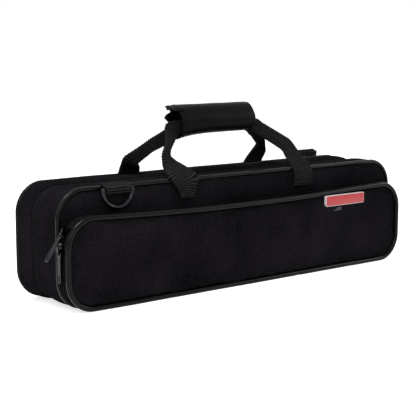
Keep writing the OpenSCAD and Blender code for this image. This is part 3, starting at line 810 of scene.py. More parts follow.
class Spread:
    """Small pieces of one shape along a line, made by a node tree with named inputs."""

    _tree: bpy.types.NodeTree | None = None

    @classmethod
    def tree(cls) -> bpy.types.NodeTree:
        """The node tree: a line becomes evenly spaced rounded beads along it."""
        if cls._tree:
            return cls._tree
        inputs = (("Line", "Geometry"), ("Pitch", "Float"), ("Size", "Vector"), ("Follow", "Float"),
                  ("Lean", "Float"), ("Seed", "Int"), ("Finish", "Material"))
        graph, given = Graph.group("beads_along_line", inputs, "Beads")
        line = graph.node("GeometryNodeMeshToCurve", None, {"Mesh": graph.out(given, "Line")})
        even = graph.node("GeometryNodeResampleCurve", {"mode": "LENGTH"},
                          {"Curve": graph.out(line), "Length": graph.out(given, "Pitch")})
        bead = graph.node("GeometryNodeMeshUVSphere", None, {"Segments": 6, "Rings": 4, "Radius": 0.5})
        tangent = graph.node("GeometryNodeInputTangent")
        turned = graph.node("FunctionNodeAlignRotationToVector", {"axis": "X"},
                            {"Factor": graph.out(given, "Follow"), "Vector": graph.out(tangent)})
        lean = graph.node("FunctionNodeRandomValue", {"data_type": "FLOAT"},
                          {2: -1.0, 3: 1.0, "Seed": graph.out(given, "Seed")})
        tilt = graph.node("ShaderNodeCombineXYZ", None, {2: graph.out(lean, 1) * graph.out(given, "Lean")})
        spin = graph.node("FunctionNodeEulerToRotation", None, {0: graph.out(tilt)})
        rotated = graph.node("FunctionNodeRotateRotation", {"rotation_space": "LOCAL"},
                             {0: graph.out(turned), 1: graph.out(spin)})
        placed = graph.node("GeometryNodeInstanceOnPoints", None, {
            "Points": graph.out(even),
            "Instance": graph.out(bead, "Mesh"),
            "Rotation": graph.out(rotated),
            "Scale": graph.out(given, "Size"),
        })
        cls._tree = graph.finished(graph.out(placed), graph.out(given, "Finish"))
        return cls._tree

    @classmethod
    def along(cls, name: str, lines: Sequence[Sequence[Vector]], pitch: float, size: tuple[float, float, float],
              finish: Finish, follow: bool = True, lean: float = 0.0) -> bpy.types.Object:
        """Puts beads along lines.

        Args:
            name: The piece's name.
            lines: The lines.
            pitch: Distance between beads.
            size: Length, width and height of a bead.
            finish: Its finish.
            follow: True turns each bead along its line; otherwise it keeps to the axes.
            lean: How far a bead may lean off its line, in radians.

        Returns:
            One plain mesh object.
        """
        points, edges = [], []
        for line in lines:
            start = len(points)
            points += [tuple(p) for p in line]
            edges += [(start + i, start + i + 1) for i in range(len(line) - 1)]
        mesh = bpy.data.meshes.new(name + "_line")
        mesh.from_pydata(points, edges, [])
        guide = bpy.data.objects.new(name + "_line", mesh)
        bpy.context.collection.objects.link(guide)
        beads = guide.modifiers.new("beads", "NODES")
        beads.node_group = cls.tree()
        given = {
            "Pitch": pitch,
            "Size": size,
            "Follow": 1.0 if follow else 0.0,
            "Lean": lean,
            "Seed": 7,
            "Finish": finish.material(),
        }
        return baked(guide, beads, name, given)


def baked(guide: bpy.types.Object, modifier: bpy.types.Modifier, name: str, given: dict) -> bpy.types.Object:
    """Sets a node modifier's named inputs and turns its result into a plain mesh object.

    Args:
        guide: The object that carries the modifier; it is removed.
        modifier: The modifier.
        name: The new object's name.
        given: Values of the inputs by name.

    Returns:
        The new object.
    """
    for item in modifier.node_group.interface.items_tree:
        if item.item_type == "SOCKET" and item.in_out == "INPUT" and item.name in given:
            modifier[item.identifier] = given[item.name]
    guide.update_tag()
    graph = bpy.context.evaluated_depsgraph_get()
    mesh = bpy.data.meshes.new_from_object(guide.evaluated_get(graph))
    mesh.name = name
    bpy.data.objects.remove(guide)
    made = bpy.data.objects.new(name, mesh)
    bpy.context.collection.objects.link(made)
    mesh.shade_smooth()
    return made


def dress(piece: bpy.types.Object, body: str, slot: str, finish: Finish, *nodes: str) -> bpy.types.Object:
    """Gives a piece its finish, its body and the CAD nodes that it stands for."""
    if not piece.data.materials:
        piece.data.materials.append(finish.material())
    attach(piece, body)
    if nodes:
        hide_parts(*nodes)
    LOG.info("%s rides on %s, %d faces", piece.name, body, len(piece.data.polygons))
    return piece


def dress_node(name: str, finish: Finish) -> None:
    """Gives a CAD node that stays its finish."""
    materials = frame["nodes"][name].data.materials
    materials.clear()
    materials.append(finish.material())
    LOG.info("%s keeps its CAD shape", name)


# ---------------------------------------------------------------- the case


class Half(Enum):
    """One half of the case: its name, the body it is, and the sign of its depth along Y."""

    BACK = ("back", "back_half", -1)
    FRONT = ("front", "lid", 1)

    @property
    def label(self) -> str:
        """The first word of its pieces' names."""
        return self.value[0]

    @property
    def body(self) -> str:
        """Its body."""
        return self.value[1]

    @property
    def sign(self) -> int:
        """Which way its depth runs along Y."""
        return self.value[2]


@dataclass(frozen=True)
class ShellSizes:
    """Sizes that both halves share, in metres.

    Attributes:
        corner: Radius of the corners.
        flat: How far the lowest line would lie under the ground, where the cloth presses flat.
        proud: How far the piping stands proud of the bands.
        cloth: Thickness of the outer cloth.
        bow: How far a band bows out between its seams.
        sink: How far a panel lies behind its piping.
        foam: Thickness of the foam's walls.
        floor: Thickness of its floor.
        tape: Thickness of the zip tape.
        tape_sink: How far the tape lies below the bands.
        tape_seam: Width of the tape under a band.
        gap: Gap between the two tapes.
        coil: Thickness of the coil.
        tooth: Length, height and depth of a tooth.
        tooth_pitch: Distance between teeth.
        stitch: Distance between stitches.
        stitch_size: Length, width and height of a stitch.
        fit: Play between the layers.
        rise: Distance from the rim over which a panel crowns.
    """

    corner: float = 28.6 * MM
    flat: float = 0.4 * MM
    proud: float = 1.6 * MM
    cloth: float = 1.6 * MM
    bow: float = 1.1 * MM
    sink: float = 1.0 * MM
    foam: float = 7.0 * MM
    floor: float = 6.0 * MM
    tape: float = 1.0 * MM
    tape_sink: float = 1.25 * MM
    tape_seam: float = 2.5 * MM
    gap: float = 0.3 * MM
    coil: float = 1.5 * MM
    tooth: tuple[float, float, float] = (0.85 * MM, 2.3 * MM, 0.85 * MM)
    tooth_pitch: float = 1.25 * MM
    stitch: float = 2.9 * MM
    stitch_size: tuple[float, float, float] = (2.2 * MM, 0.5 * MM, 0.4 * MM)
    fit: float = 0.2 * MM
    rise: float = 16 * MM

    @property
    def inner(self) -> float:
        """How far inwards the space inside the foam begins."""
        return self.proud + self.cloth + self.fit + self.foam


class Sewn(ABC):
    """Pieces of cloth that are sewn together round one outline."""

    outline: Outline

    @abstractmethod
    def y(self, depth: float) -> float:
        """The place along Y of a depth."""

    def seam_line(self, inset: float, depth: float) -> list[Vector]:
        """A line round the open part of the outline, this far inwards and at this depth."""
        return [settle(st.at(inset, self.y(depth))) for st in self.outline.stations(False)]

    def face(self, inset: float, cols: int, rows: int, depth_of: Callable[[float], float]) -> list[list[Vector]]:
        """The face of a padded panel at rest.

        Args:
            inset: How far inside the outline it begins.
            cols: Points along X.
            rows: Points along Z.
            depth_of: Gives the depth from the distance to the rim.

        Returns:
            Its points, row by row.
        """
        points = filled(self.outline, inset, cols, rows, lambda x, z, rim: self.y(depth_of(rim)))
        return [[settle(p) for p in row] for row in points]


def crowned(rim: float, reach: float) -> float:
    """How far a padded face has risen, from 0 at its rim to 1 this far inside."""
    return 1 - (1 - min(rim / reach, 1.0)) ** 2


class Shell(Sewn):
    """One half of the case: piping, bands, panel, zip tape and foam."""

    def __init__(self, half: Half, sizes: ShellSizes) -> None:
        """Reads the half's planes from the frame."""
        self.half, self.sizes = half, sizes
        low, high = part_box(f"{half.label}_piping")
        self.pipe = high.y - low.y
        self.plane = high.y if half is Half.BACK else low.y
        self.outline = Outline(high.x - low.x, -sizes.flat, high.z, sizes.corner)
        tape_low, tape_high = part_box(f"{half.label}_zip_tape")
        ends = (abs(tape_low.y - self.plane), abs(tape_high.y - self.plane))
        self.band_end, self.part = min(ends), max(ends)

    def y(self, depth: float) -> float:
        """The place along Y of a depth behind the half's plane."""
        return self.plane + self.half.sign * depth

    def name(self, what: str) -> str:
        """A piece's name."""
        return f"{self.half.label}_{what}"

    def piping(self) -> None:
        """The covered cord on the half's edge."""
        r = self.pipe / 2
        shape = cord_shape(r, self.y(r))
        made = ring(self.name("cord"), self.outline, round_profile(r, r, r, 16), self.y, shape=shape)
        dress(made, self.half.body, "piping", PIPING, self.name("piping"))

    def band_profile(self) -> list[tuple[float, float]]:
        """The cloth band: bowed outside, folded in at the zip, flat inside."""
        s, steps = self.sizes, 12
        hem = 1.1 * MM
        start, end = self.pipe * 0.62, self.band_end
        outer = []
        for i in range(steps + 1):
            t = i / steps
            bow = s.bow * (1 - (2 * t - 1) ** 2) ** 0.8
            outer.append((s.proud - bow, start + (end - hem - start) * t))
        folded = [(0.2 * MM, end - 0.5 * MM), (0.7 * MM, end - 0.15 * MM), (1.3 * MM, end)]
        inner = [(s.cloth, end), (s.cloth, (start + end) / 2), (s.cloth, self.pipe)]
        return outer + [(s.proud + inset, depth) for inset, depth in folded + inner]

    def band(self) -> None:
        """The cloth band between piping and zip."""
        seam_reach, gather_size, gather_height = 3 * MM, 4.5 * MM, 0.14 * MM
        broad_size, broad_height, apart = 30 * MM, 0.3 * MM, Vector((7, 3, 1))

        def shape(point: Vector, station: Station) -> Vector:
            """Settles the cloth with small gathers beside its seams."""
            depth = abs(point.y - self.plane)
            near = math.exp(-min(depth - self.pipe, self.band_end - depth) / seam_reach)
            gather = gather_height * near * noise.noise(point / gather_size)
            broad = broad_height * noise.noise(point / broad_size + apart)
            return settle(point + Vector((station.out_x, 0, station.out_z)) * (gather + broad))

        made = ring(self.name("gusset"), self.outline, self.band_profile(), self.y, shape=shape)
        dress(made, self.half.body, "cloth", CLOTH, self.name("band"))

    def panel(self, crown: float) -> None:
        """The large padded panel, this much higher in its middle than at its rim."""
        s, rim_drop, rim_reach = self.sizes, 1.3 * MM, 1.2 * MM

        def depth_of(rim: float) -> float:
            """The crowned face, which drops at its seam."""
            return s.sink + rim_drop * math.exp(-rim / rim_reach) - crown * crowned(rim, s.rise)

        rows = self.face(self.pipe - 0.25 * MM, 120, 34, depth_of)
        rows = billow(rows, Vector((0, -self.half.sign, 0)), 0.012, 0.5 * MM)
        behind = self.y(s.sink + s.cloth) + self.half.sign * MM
        made = slab(self.name("cover"), rows, lambda p: Vector((p.x, behind, p.z)), 60)
        dress(made, self.half.body, "cloth", CLOTH, self.name("panel"))

    def zip_tape(self) -> None:
        """The half of the zip's tape, with its rows of stitches and the nylon coil behind."""
        s = self.sizes
        inset = s.proud + s.tape_sink
        start, end = self.band_end - s.tape_seam, self.part
        bevel, ease = 0.35 * MM, 0.05 * MM
        profile = [
            (inset + bevel, start),
            (inset, self.band_end + 0.4 * MM),
            (inset - ease, end - 1.4 * MM),
            (inset + ease, end - 0.4 * MM),
            (inset + bevel, end),
            (inset + s.tape, end),
            (inset + s.tape, start),
        ]
        made = ring(self.name("tape"), self.outline, profile, self.y, False)
        dress(made, self.half.body, "tape", TAPE, self.name("zip_tape"))
        line = self.seam_line(s.proud + 0.02 * MM, self.band_end - 2.4 * MM)
        made = Spread.along(self.name("zip_stitches"), [line], s.stitch, s.stitch_size, THREAD)
        dress(made, self.half.body, "tape", THREAD)
        line = self.seam_line(inset + s.tape + 0.55 * MM, end - 1.0 * MM)
        made = Spread.along(self.name("teeth"), [line], s.tooth_pitch, s.tooth, COIL, follow=False)
        dress(made, self.half.body, "coil", COIL, self.name("coil"))

    def foam(self) -> None:
        """The stiff tray inside the cloth, covered with lining."""
        s = self.sizes
        out, inner, rim = s.proud + s.cloth + s.fit, s.inner, self.part
        under, step = s.sink + s.cloth, 2 * s.coil
        bottom, floor = under + 1.2 * MM, under + s.floor
        small, wall, deepest = 0.6 * MM, 0.1 * MM, s.corner - MM
        profile = [
            (out + 1.5 * MM, bottom),
            (out, under + 3 * MM),
            (out, rim - step),
            (out + step - small, rim - step),
            (out + step, rim - step + small),
            (out + step, rim - 0.8 * MM),
            (out + step + 0.8 * MM, rim),
            (inner - 0.9 * MM, rim),
            (inner - wall, rim - 0.9 * MM),
            (inner - wall, floor),
            (inner + 30 * MM, floor),
            (inner + 30 * MM, bottom),
        ]
        rows = []
        for station in self.outline.stations():
            rows.append([station.at(min(inset, deepest), self.y(depth)) for inset, depth in profile])
        made = loft(self.name("tray"), rows, True)
        dress(made, self.half.body, "foam", FOAM, self.name("foam"))

    def build(self, crown: float) -> None:
        """Makes every piece of the half."""
        self.piping()
        self.band()
        self.panel(crown)
        self.zip_tape()
        self.foam()


@dataclass(frozen=True)
class Bed:
    """A bed of the insert: its middle in X and Z, half its length and its radius."""

    x: float
    z: float
    half: float
    radius: float

    END, SIDE, SLOPE = 2.2 * MM, 1.1 * MM, 2.0 * MM

    def depth(self, x: float, z: float, sink: float) -> float:
        """How deep it is at a place, with soft edges, where its middle line lies this far below the face."""
        off, past = abs(z - self.z), abs(x - self.x) - self.half
        if off >= self.radius + 1.2 * MM:
            return 0.0
        end = max(0.0, min(1.0, 0.5 - past / self.END))
        bowl = math.sqrt(max(self.radius * self.radius - off * off, 0.0))
        side = max(0.0, min(1.0, (self.radius + self.SIDE - off) / self.SLOPE))
        return (sink + bowl) * end * end * (3 - 2 * end) * side


class Inside:
    """What the case holds: the moulded beds, the lid's pad and lining, the ribbon and the cloth hinge."""

    RADII = {"body": 15 * MM, "head": 12 * MM, "foot": 15 * MM, "rod": 4 * MM}
    SINK = 5 * MM
    NOTCH = (13 * MM, 17 * MM, 9 * MM)

    def __init__(self, back: Shell, front: Shell) -> None:
        """Keeps both halves."""
        self.back, self.front, self.sizes = back, front, back.sizes

    def beds(self) -> list[Bed]:
        """The beds, from the stated openings."""
        found = []
        for opening in frame["record"]["physics"]["openings"]:
            if opening["name"].endswith("bed"):
                low, high = (Vector(corner) for corner in opening["box_m"])
                middle, half = (low + high) / 2, (high.x - low.x) / 2 + 1.8 * MM
                found.append(Bed(middle.x, middle.z, half, self.RADII[opening["name"].split("_")[0]]))
        return found

    def insert(self) -> None:
        """The moulded, plush covered insert, whose beds have soft edges and a notch for the fingers."""
        low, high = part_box("insert")
        beds = self.beds()
        half_x, half_z, notch = self.NOTCH
        face, edge, reach = low.y + 0.1 * MM, 0.9 * MM, MM

        def y_of(x: float, z: float, rim: float) -> float:
            """The face, rounded off at its rim and sunk into beds."""
            deepest = max(bed.depth(x, z, self.SINK) for bed in beds)
            off = math.hypot(x / half_x, (z - beds[0].z) / half_z)
            deepest = max(deepest, (self.SINK + notch) * max(0.0, 1 - off ** 4))
            return face + edge * math.exp(-rim / reach) + deepest

        rows = filled(self.back.outline, self.sizes.inner + 0.1 * MM, 300, 72, y_of)
        made = slab("moulded_bed", rows, lambda p: Vector((p.x, high.y, p.z)), 50)
        dress(made, "back_half", "plush", PLUSH, "insert")

    def ribbon(self) -> None:
        """The ribbon loop beside the foot joint's bed."""
        low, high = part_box("finger_pull")
        middle, half_x, half_z = (low + high) / 2, (high.x - low.x) / 2, (high.z - low.z) / 2
        steps, rows = 24, []
        for i in range(steps + 1):
            angle = math.pi * i / steps
            z = middle.z + half_z * math.cos(angle) * 0.95
            lift = 0.6 * MM + 2.2 * MM * math.sin(angle) ** 1.5
            y = high.y - lift * 0.28
            corners = ((-1, -0.2), (1, -0.2), (1, 0.2), (-1, 0.2))
            rows.append([Vector((middle.x + side * half_x, y + off * MM, z)) for side, off in corners])
        made = loft("ribbon", rows, False)
        dress(made, "back_half", "webbing", WEBBING, "finger_pull")

    def pad(self) -> None:
        """The soft pad inside the lid."""
        low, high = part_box("lid_pad")
        edge, reach = 2.6 * MM, 9 * MM

        def y_of(x: float, z: float, rim: float) -> float:
            """The face, which drops towards its rim."""
            return high.y - edge * (1 - min(rim / reach, 1.0)) ** 2

        rows = filled(self.front.outline, self.sizes.inner + 1.6 * MM, 110, 32, y_of)
        rows = billow(rows, Vector((0, 1, 0)), 0.012, 1.2 * MM)
        made = slab("lid_cushion", rows, lambda p: Vector((p.x, low.y, p.z)), 60)
        dress(made, "lid", "plush", PLUSH, "lid_pad")

    def lining(self) -> None:
        """Plush on the inner walls of the lid."""
        inner, thick = self.sizes.inner, MM
        start = self.sizes.sink + self.sizes.cloth + self.sizes.floor
        end = self.front.part - MM
        shoulder = end - thick / 2
        profile = [(inner, start), (inner, shoulder), (inner + thick / 2, end), (inner + thick, shoulder),
                   (inner + thick, start)]
        made = ring("wall_lining", self.front.outline, profile, self.front.y, shape=lambda p, st: p)
        dress(made, "lid", "plush", LINING, "lid_cloth")

    def hinge(self) -> None:
        """The strip of cloth along the ground that joins the two halves."""
        low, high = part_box("hinge_cloth")
        lift, dip, ripple, size = 0.1 * MM, 0.25 * MM, 0.1 * MM, 9 * MM

        def z_of(x: float, t: float) -> float:
            """The lower face, drawn up a little between its seams."""
            wave = ripple * noise.noise(Vector((x, t * 0.01, 0)) / size)
            return low.z + lift + (dip * math.sin(math.pi * t) + wave)

        made = ground_strip("cloth_hinge", low, high, 60, 8, 0.8 * MM, z_of)
        made.data.materials.append(CLOTH.material())
        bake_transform(made)
        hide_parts("hinge_cloth")

    def build(self) -> None:
        """Makes every inner piece."""
        self.insert()
        self.ribbon()
        self.pad()
        self.lining()
        self.hinge()


@dataclass(frozen=True)
class PocketSizes:
    """Sizes of the pocket, in metres.

    Attributes:
        sag: How far its top edge sags in the middle.
        crown: How far the filled front stands over the piping.
        settled: What the front keeps back at rest, before it is filled.
        rise: Distance from the rim over which the front crowns.
        zip: Depth of the middle of the zip.
        edge: How far the front's rim lies behind the piping's front.
        join: X of the place where the ends of the cord meet.
        sunk: How far the tapes lie below the band.
        teeth: How far the teeth lie from the edge of their tape.
        tooth: Length, height and depth of a tooth.
    """

    sag: float = 4.5 * MM
    crown: float = 2.2 * MM
    settled: float = 0.6 * MM
    rise: float = 22 * MM
    zip: float = 4.65 * MM
    edge: float = 1.7 * MM
    join: float = 62 * MM
    sunk: float = 0.5 * MM
    teeth: float = 0.9 * MM
    tooth: tuple[float, float, float] = (0.85 * MM, 2.1 * MM, 0.85 * MM)


class Pocket(Sewn):
    """The pocket on the front: its zip, band, piping, crowned panel and badge."""

    def __init__(self, shell: Shell, sizes: PocketSizes) -> None:
        """Reads the pocket's planes from the frame."""
        self.shell, self.sizes, self.common = shell, sizes, shell.sizes
        low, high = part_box("pocket_piping")
        self.pipe = high.y - low.y
        self.deep = shell.plane - low.y
        self.outline = Outline(high.x - low.x, -self.common.flat, high.z, self.common.corner, sizes.sag)

    def y(self, depth: float) -> float:
        """The place along Y of a depth in front of the case."""
        return self.shell.plane - depth

    def tapes(self) -> None:
        """The fixed and the moving half of the pocket's zip, each with its teeth."""
        c, s = self.common, self.sizes
        inset, back = c.proud + s.sunk, c.proud + s.sunk + c.tape
        near, far, end = s.zip - c.gap / 2, s.zip + c.gap / 2, 2 * s.zip + MM
        under, ease, lap = -0.4 * MM, 0.3 * MM, 0.8 * MM
        fixed = [(inset, under), (inset, near - lap), (inset + ease, near), (back, near), (back, under)]
        moving = [(inset + ease, far), (inset, far + lap), (inset, end), (back, end), (back, far)]
        halves = (("rear", "lid", fixed, near - s.teeth, "pocket_fixed_tape"),
                  ("front", "pocket", moving, far + s.teeth, "pocket_tape"))
        for place, body, profile, _, node in halves:
            made = ring(f"pocket_tape_{place}", self.outline, profile, self.y)
            dress(made, body, "tape", TAPE, node)
        for place, body, _, depth, _ in halves:
            line = self.seam_line(back + 0.5 * MM, depth)
            made = Spread.along(f"pocket_teeth_{place}", [line], c.tooth_pitch, s.tooth, COIL, follow=False)
            dress(made, body, "coil", COIL)

    def band(self) -> None:
        """The narrow cloth band between the zip and the piping."""
        proud, thick = self.common.proud, 1.5 * MM
        start, end = 2 * self.sizes.zip - 0.2 * MM, self.deep - self.pipe * 0.45
        hem = [(proud + 0.9 * MM, start), (proud + 0.3 * MM, start + 0.1 * MM), (proud, start + 0.6 * MM)]
        bowed = [(proud - 0.35 * MM, (start + end) / 2), (proud - 0.1 * MM, end)]
        inner = [(proud + thick, end), (proud + thick, start)]
        made = ring("pocket_gusset", self.outline, hem + bowed + inner, self.y)
        dress(made, "pocket", "cloth", CLOTH, "pocket_band")

    def piping(self) -> None:
        """The glossy cord on the pocket's front edge, joined under the middle."""
        r = self.pipe / 2
        creased = cord_shape(r, self.y(self.deep - r))
        swell, swell_reach, nick, nick_reach = 0.1, 5 * MM, 0.22, 1.6 * MM

        def shape(point: Vector, station: Station) -> Vector:
            """Creases the cord, and pinches it where its ends meet."""
            if station.out_z < -0.9:
                off = station.x - self.sizes.join
                more = swell * math.exp(-((off / swell_reach) ** 2))
                less = nick * math.exp(-((off / nick_reach) ** 2))
                centre = station.at(r, self.y(self.deep - r))
                point = centre + (point - centre) * (1 + more - less)
            return creased(point, station)

        made = ring("pocket_cord", self.outline, round_profile(r, r, self.deep - r, 20), self.y, shape=shape)
        dress(made, "pocket", "piping", PIPING, "pocket_piping")

    def panel(self) -> None:
        """The padded front of the pocket."""
        s, pinch, pinch_reach = self.sizes, 2.2 * MM, 1.3 * MM

        def depth_of(rim: float) -> float:
            """The crowned front, pinched in at its seam."""
            rise = (s.edge + s.crown - s.settled) * crowned(rim, s.rise)
            return self.deep - s.edge + rise - pinch * math.exp(-rim / pinch_reach)

        rows = self.face(self.pipe - 0.3 * MM, 150, 40, depth_of)
        rows = billow(rows, Vector((0, -1, 0)), 0.015, 1.6 * MM)
        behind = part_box("pocket_panel")[1].y
        made = slab("pocket_front", rows, lambda p: Vector((p.x, behind, p.z)), 60)
        dress(made, "pocket", "cloth", CLOTH, "pocket_panel")

    def hinge(self) -> None:
        """The cloth inside the bottom, on which the pocket folds open."""
        low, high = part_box("pocket_hinge_cloth")
        made = ground_strip("pocket_fold", low, high, 40, 6, high.z - low.z, lambda x, t: low.z)
        made.data.materials.append(CLOTH.material())
        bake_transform(made)
        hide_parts("pocket_hinge_cloth")

    @staticmethod
    def plate(name: str, low: Vector, high: Vector, corner: float) -> bpy.types.Object:
        """A flat plate in the plane of X and Z, with round corners and an eased front edge.

        Args:
            name: The piece's name.
            low: Its lowest corner, on its front face.
            high: Its highest corner, on its rear face.
            corner: Radius of its corners.

        Returns:
            The plate.
        """
        sides, mid_x, mid_z = 32, (low.x + high.x) / 2, (low.z + high.z) / 2
        outline = []
        for k in range(sides):
            angle = TURN * (k + 0.5) / sides
            x = high.x - corner if math.cos(angle) > 0 else low.x + corner
            z = high.z - corner if math.sin(angle) > 0 else low.z + corner
            outline.append((x + corner * math.cos(angle), z + corner * math.sin(angle)))
        eased = ((high.y, 0.0), (low.y + 0.3 * MM, 0.0), (low.y + 0.08 * MM, 0.1 * MM), (low.y, 0.35 * MM))
        rows = []
        for y, inset in eased:
            near_x, near_z = 1 - inset / abs(high.x - mid_x), 1 - inset / abs(high.z - mid_z)
            away = [Vector((x - mid_x, z - mid_z)) for x, z in outline]
            rows.append([Vector((mid_x + off.x * near_x, y, mid_z + off.y * near_z)) for off in away])
        return loft(name, rows, False, 30)

    def badge(self) -> None:
        """The bare red plate in its pale rim, and the cloth end below it."""
        low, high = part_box("badge")
        trim, lift = Vector((0.4 * MM, 0, 0.6 * MM)), Vector((0, 0, 1.6 * MM))
        low, high = low + trim + lift, high - trim + lift * 0.4
        made = self.plate("badge_rim", low, high, 1.6 * MM)
        dress(made, "pocket", "badge", RIM, "badge")
        step, front = Vector((0.6 * MM, 0, 0.6 * MM)), Vector((0, -0.35 * MM, 0))
        made = self.plate("badge_plate", low + step + front, high - step + front, 1.2 * MM)
        dress(made, "pocket", "badge", RED)
        dress_node("badge_tab", LABEL)

    def build(self) -> None:
        """Makes every piece of the pocket."""
        self.tapes()
        self.band()
        self.piping()
        self.panel()
        self.hinge()
        self.badge()


# ---------------------------------------------------------------- the handle


Rung = tuple[float, ...]


@dataclass(frozen=True)
class Webbing:
    """Flat ribbed webbing that follows rungs, and is folded lengthwise where the rungs are short.

    Attributes:
        thick: Thickness where it lies single.
        pitch: Distance between ribs.
        rib: Height of a rib.
        even: Length over which the direction across which the ribs run is evened out, to each side.
        wide: Width of a rung from which it lies single.
        folded: Width of a rung up to which it is folded in two.
    """

    thick: float = 1.5 * MM
    pitch: float = 2.2 * MM
    rib: float = 0.6 * MM
    even: float = 7 * MM
    wide: float = 19 * MM
    folded: float = 12 * MM

    FINE, PER_RIB, CROWN = 24, 6, 0.2 * MM

    @staticmethod
    def cubic(values: Sequence[Rung], i: int, t: float) -> list[float]:
        """Numbers between rung i and the next one, on the curve through all rungs."""
        a, b, c, d = (values[max(0, min(len(values) - 1, i + k))] for k in (-1, 0, 1, 2))
        return [
            0.5 * (2 * q + (r - p) * t + (2 * p - 5 * q + 4 * r - w) * t * t + (3 * q - p - 3 * r + w) * t ** 3)
            for p, q, r, w in zip(a, b, c, d)
        ]

    def route(self, rungs: Sequence[Rung]) -> list[list[float]]:
        """Evenly spaced rungs along the curve through the given ones."""
        fine = [self.cubic(rungs, i, k / self.FINE) for i in range(len(rungs) - 1) for k in range(self.FINE)]
        fine.append(list(rungs[-1]))
        run = running([(Vector(f[:3]) + Vector(f[3:])) / 2 for f in fine])
        step, found, i = self.pitch / self.PER_RIB, [], 0
        for n in range(int(run[-1] / step) + 1):
            while i < len(run) - 2 and run[i + 1] < n * step:
                i += 1
            t = (n * step - run[i]) / max(run[i + 1] - run[i], 1e-9)
            found.append([p + (q - p) * t for p, q in zip(fine[i], fine[i + 1])])
        return found

    @staticmethod
    def rib_tree() -> bpy.types.NodeTree:
        """The node tree that raises ribs across a strip's run."""
        known = bpy.data.node_groups.get("ribs_across_strip")
        if known:
            return known
        inputs = (("Strip", "Geometry"), ("Pitch", "Float"), ("Height", "Float"), ("Finish", "Material"))
        graph, given = Graph.group("ribs_across_strip", inputs, "Ribbed")
        run = graph.node("GeometryNodeInputNamedAttribute", {"data_type": "FLOAT"}, {"Name": "run"})
        turns = graph.math("DIVIDE", graph.out(run), graph.out(given, "Pitch"))
        crest = 0.5 + 0.5 * graph.math("COSINE", turns * TURN)
        normal = graph.node("GeometryNodeInputNormal")
        lift = graph.node("ShaderNodeVectorMath", {"operation": "SCALE"},
                          {0: graph.out(normal), "Scale": crest * graph.out(given, "Height")})
        moved = graph.node("GeometryNodeSetPosition", None,
                           {"Geometry": graph.out(given, "Strip"), "Offset": graph.out(lift)})
        return graph.finished(graph.out(moved), graph.out(given, "Finish"))

    def section(self, width: float) -> list[tuple[float, float]]:
        """The cross section: places along the side direction and along the face direction.

        Args:
            width: Width of the strip at this place.

        Returns:
            Its points; a fold is on the first side and its open edges are on the other.
        """
        folds = max(0.0, min(1.0, (self.wide - width) / (self.wide - self.folded)))
        half, thick = width / 2, self.thick * (1 + 1.2 * folds) / 2
        across = [math.sin(math.pi * (k / 10 - 0.5)) for k in range(11)]
        upper = [(half * a, thick + self.CROWN * (1 - a * a)) for a in across]
        lower = [(half * a, self.CROWN * (1 - a * a) * (1 - 2 * folds) - thick) for a in reversed(across)]
        closed = (half + 0.25 * thick + 0.5 * MM * folds, 0.0)
        split = (-half - 0.2 * thick + 1.6 * MM * folds, 0.0)
        return [*upper, closed, *lower, split]

    def strip(self, name: str, rungs: Sequence[Rung]) -> bpy.types.Object:
        """Sweeps the webbing along its rungs and raises its ribs.

        Args:
            name: The piece's name.
            rungs: The strip's first and second edge at each place.

        Returns:
            The webbing as a plain mesh object.
        """
        places = self.route(rungs)
        middles = [(Vector(p[:3]) + Vector(p[3:])) / 2 for p in places]
        step, rows, runs = self.pitch / self.PER_RIB, [], []
        reach = round(self.even / step)
        for i, now in enumerate(places):
            run = (middles[min(i + 3, len(middles) - 1)] - middles[max(i - 3, 0)]).normalized()
            side = Vector(now[:3]) - Vector(now[3:])
            face = run.cross(side).normalized()
            width = side.length
            side.normalize()
            row = [middles[i] + side * u + face * v for u, v in self.section(width)]
            rows.append(row)
            broad = (middles[min(i + reach, len(middles) - 1)] - middles[max(i - reach, 0)]).normalized()
            runs += [i * step + (p - middles[i]).dot(broad) for p in row]
        made = loft(name + "_smooth", rows, False, 70)
        made.data.attributes.new("run", "FLOAT", "POINT").data.foreach_set("value", runs)
        # The map's run follows the raised ribs, so that the painted shade of the ribbed finish falls in their
        # grooves.
        for corner, place in zip(made.data.loops, made.data.uv_layers[WEAVE].data):
            place.uv = (runs[corner.vertex_index], place.uv[1])
        ribs = made.modifiers.new("ribs", "NODES")
        ribs.node_group = self.rib_tree()
        given = {"Pitch": self.pitch, "Height": self.rib, "Finish": WEBBING.material()}
        return baked(made, ribs, name, given)


@dataclass(frozen=True)
class StrapRungs:
    """Both edges of a strap at places along it, in millimetres, from its left foot to its right one."""

    left: tuple[Rung, ...]
    inside: tuple[Rung, ...]
    right: tuple[Rung, ...]

    def all(self) -> list[Rung]:
        """Every rung in metres."""
        return [tuple(v * MM for v in rung) for rung in (*self.left, *self.inside, *self.right)]


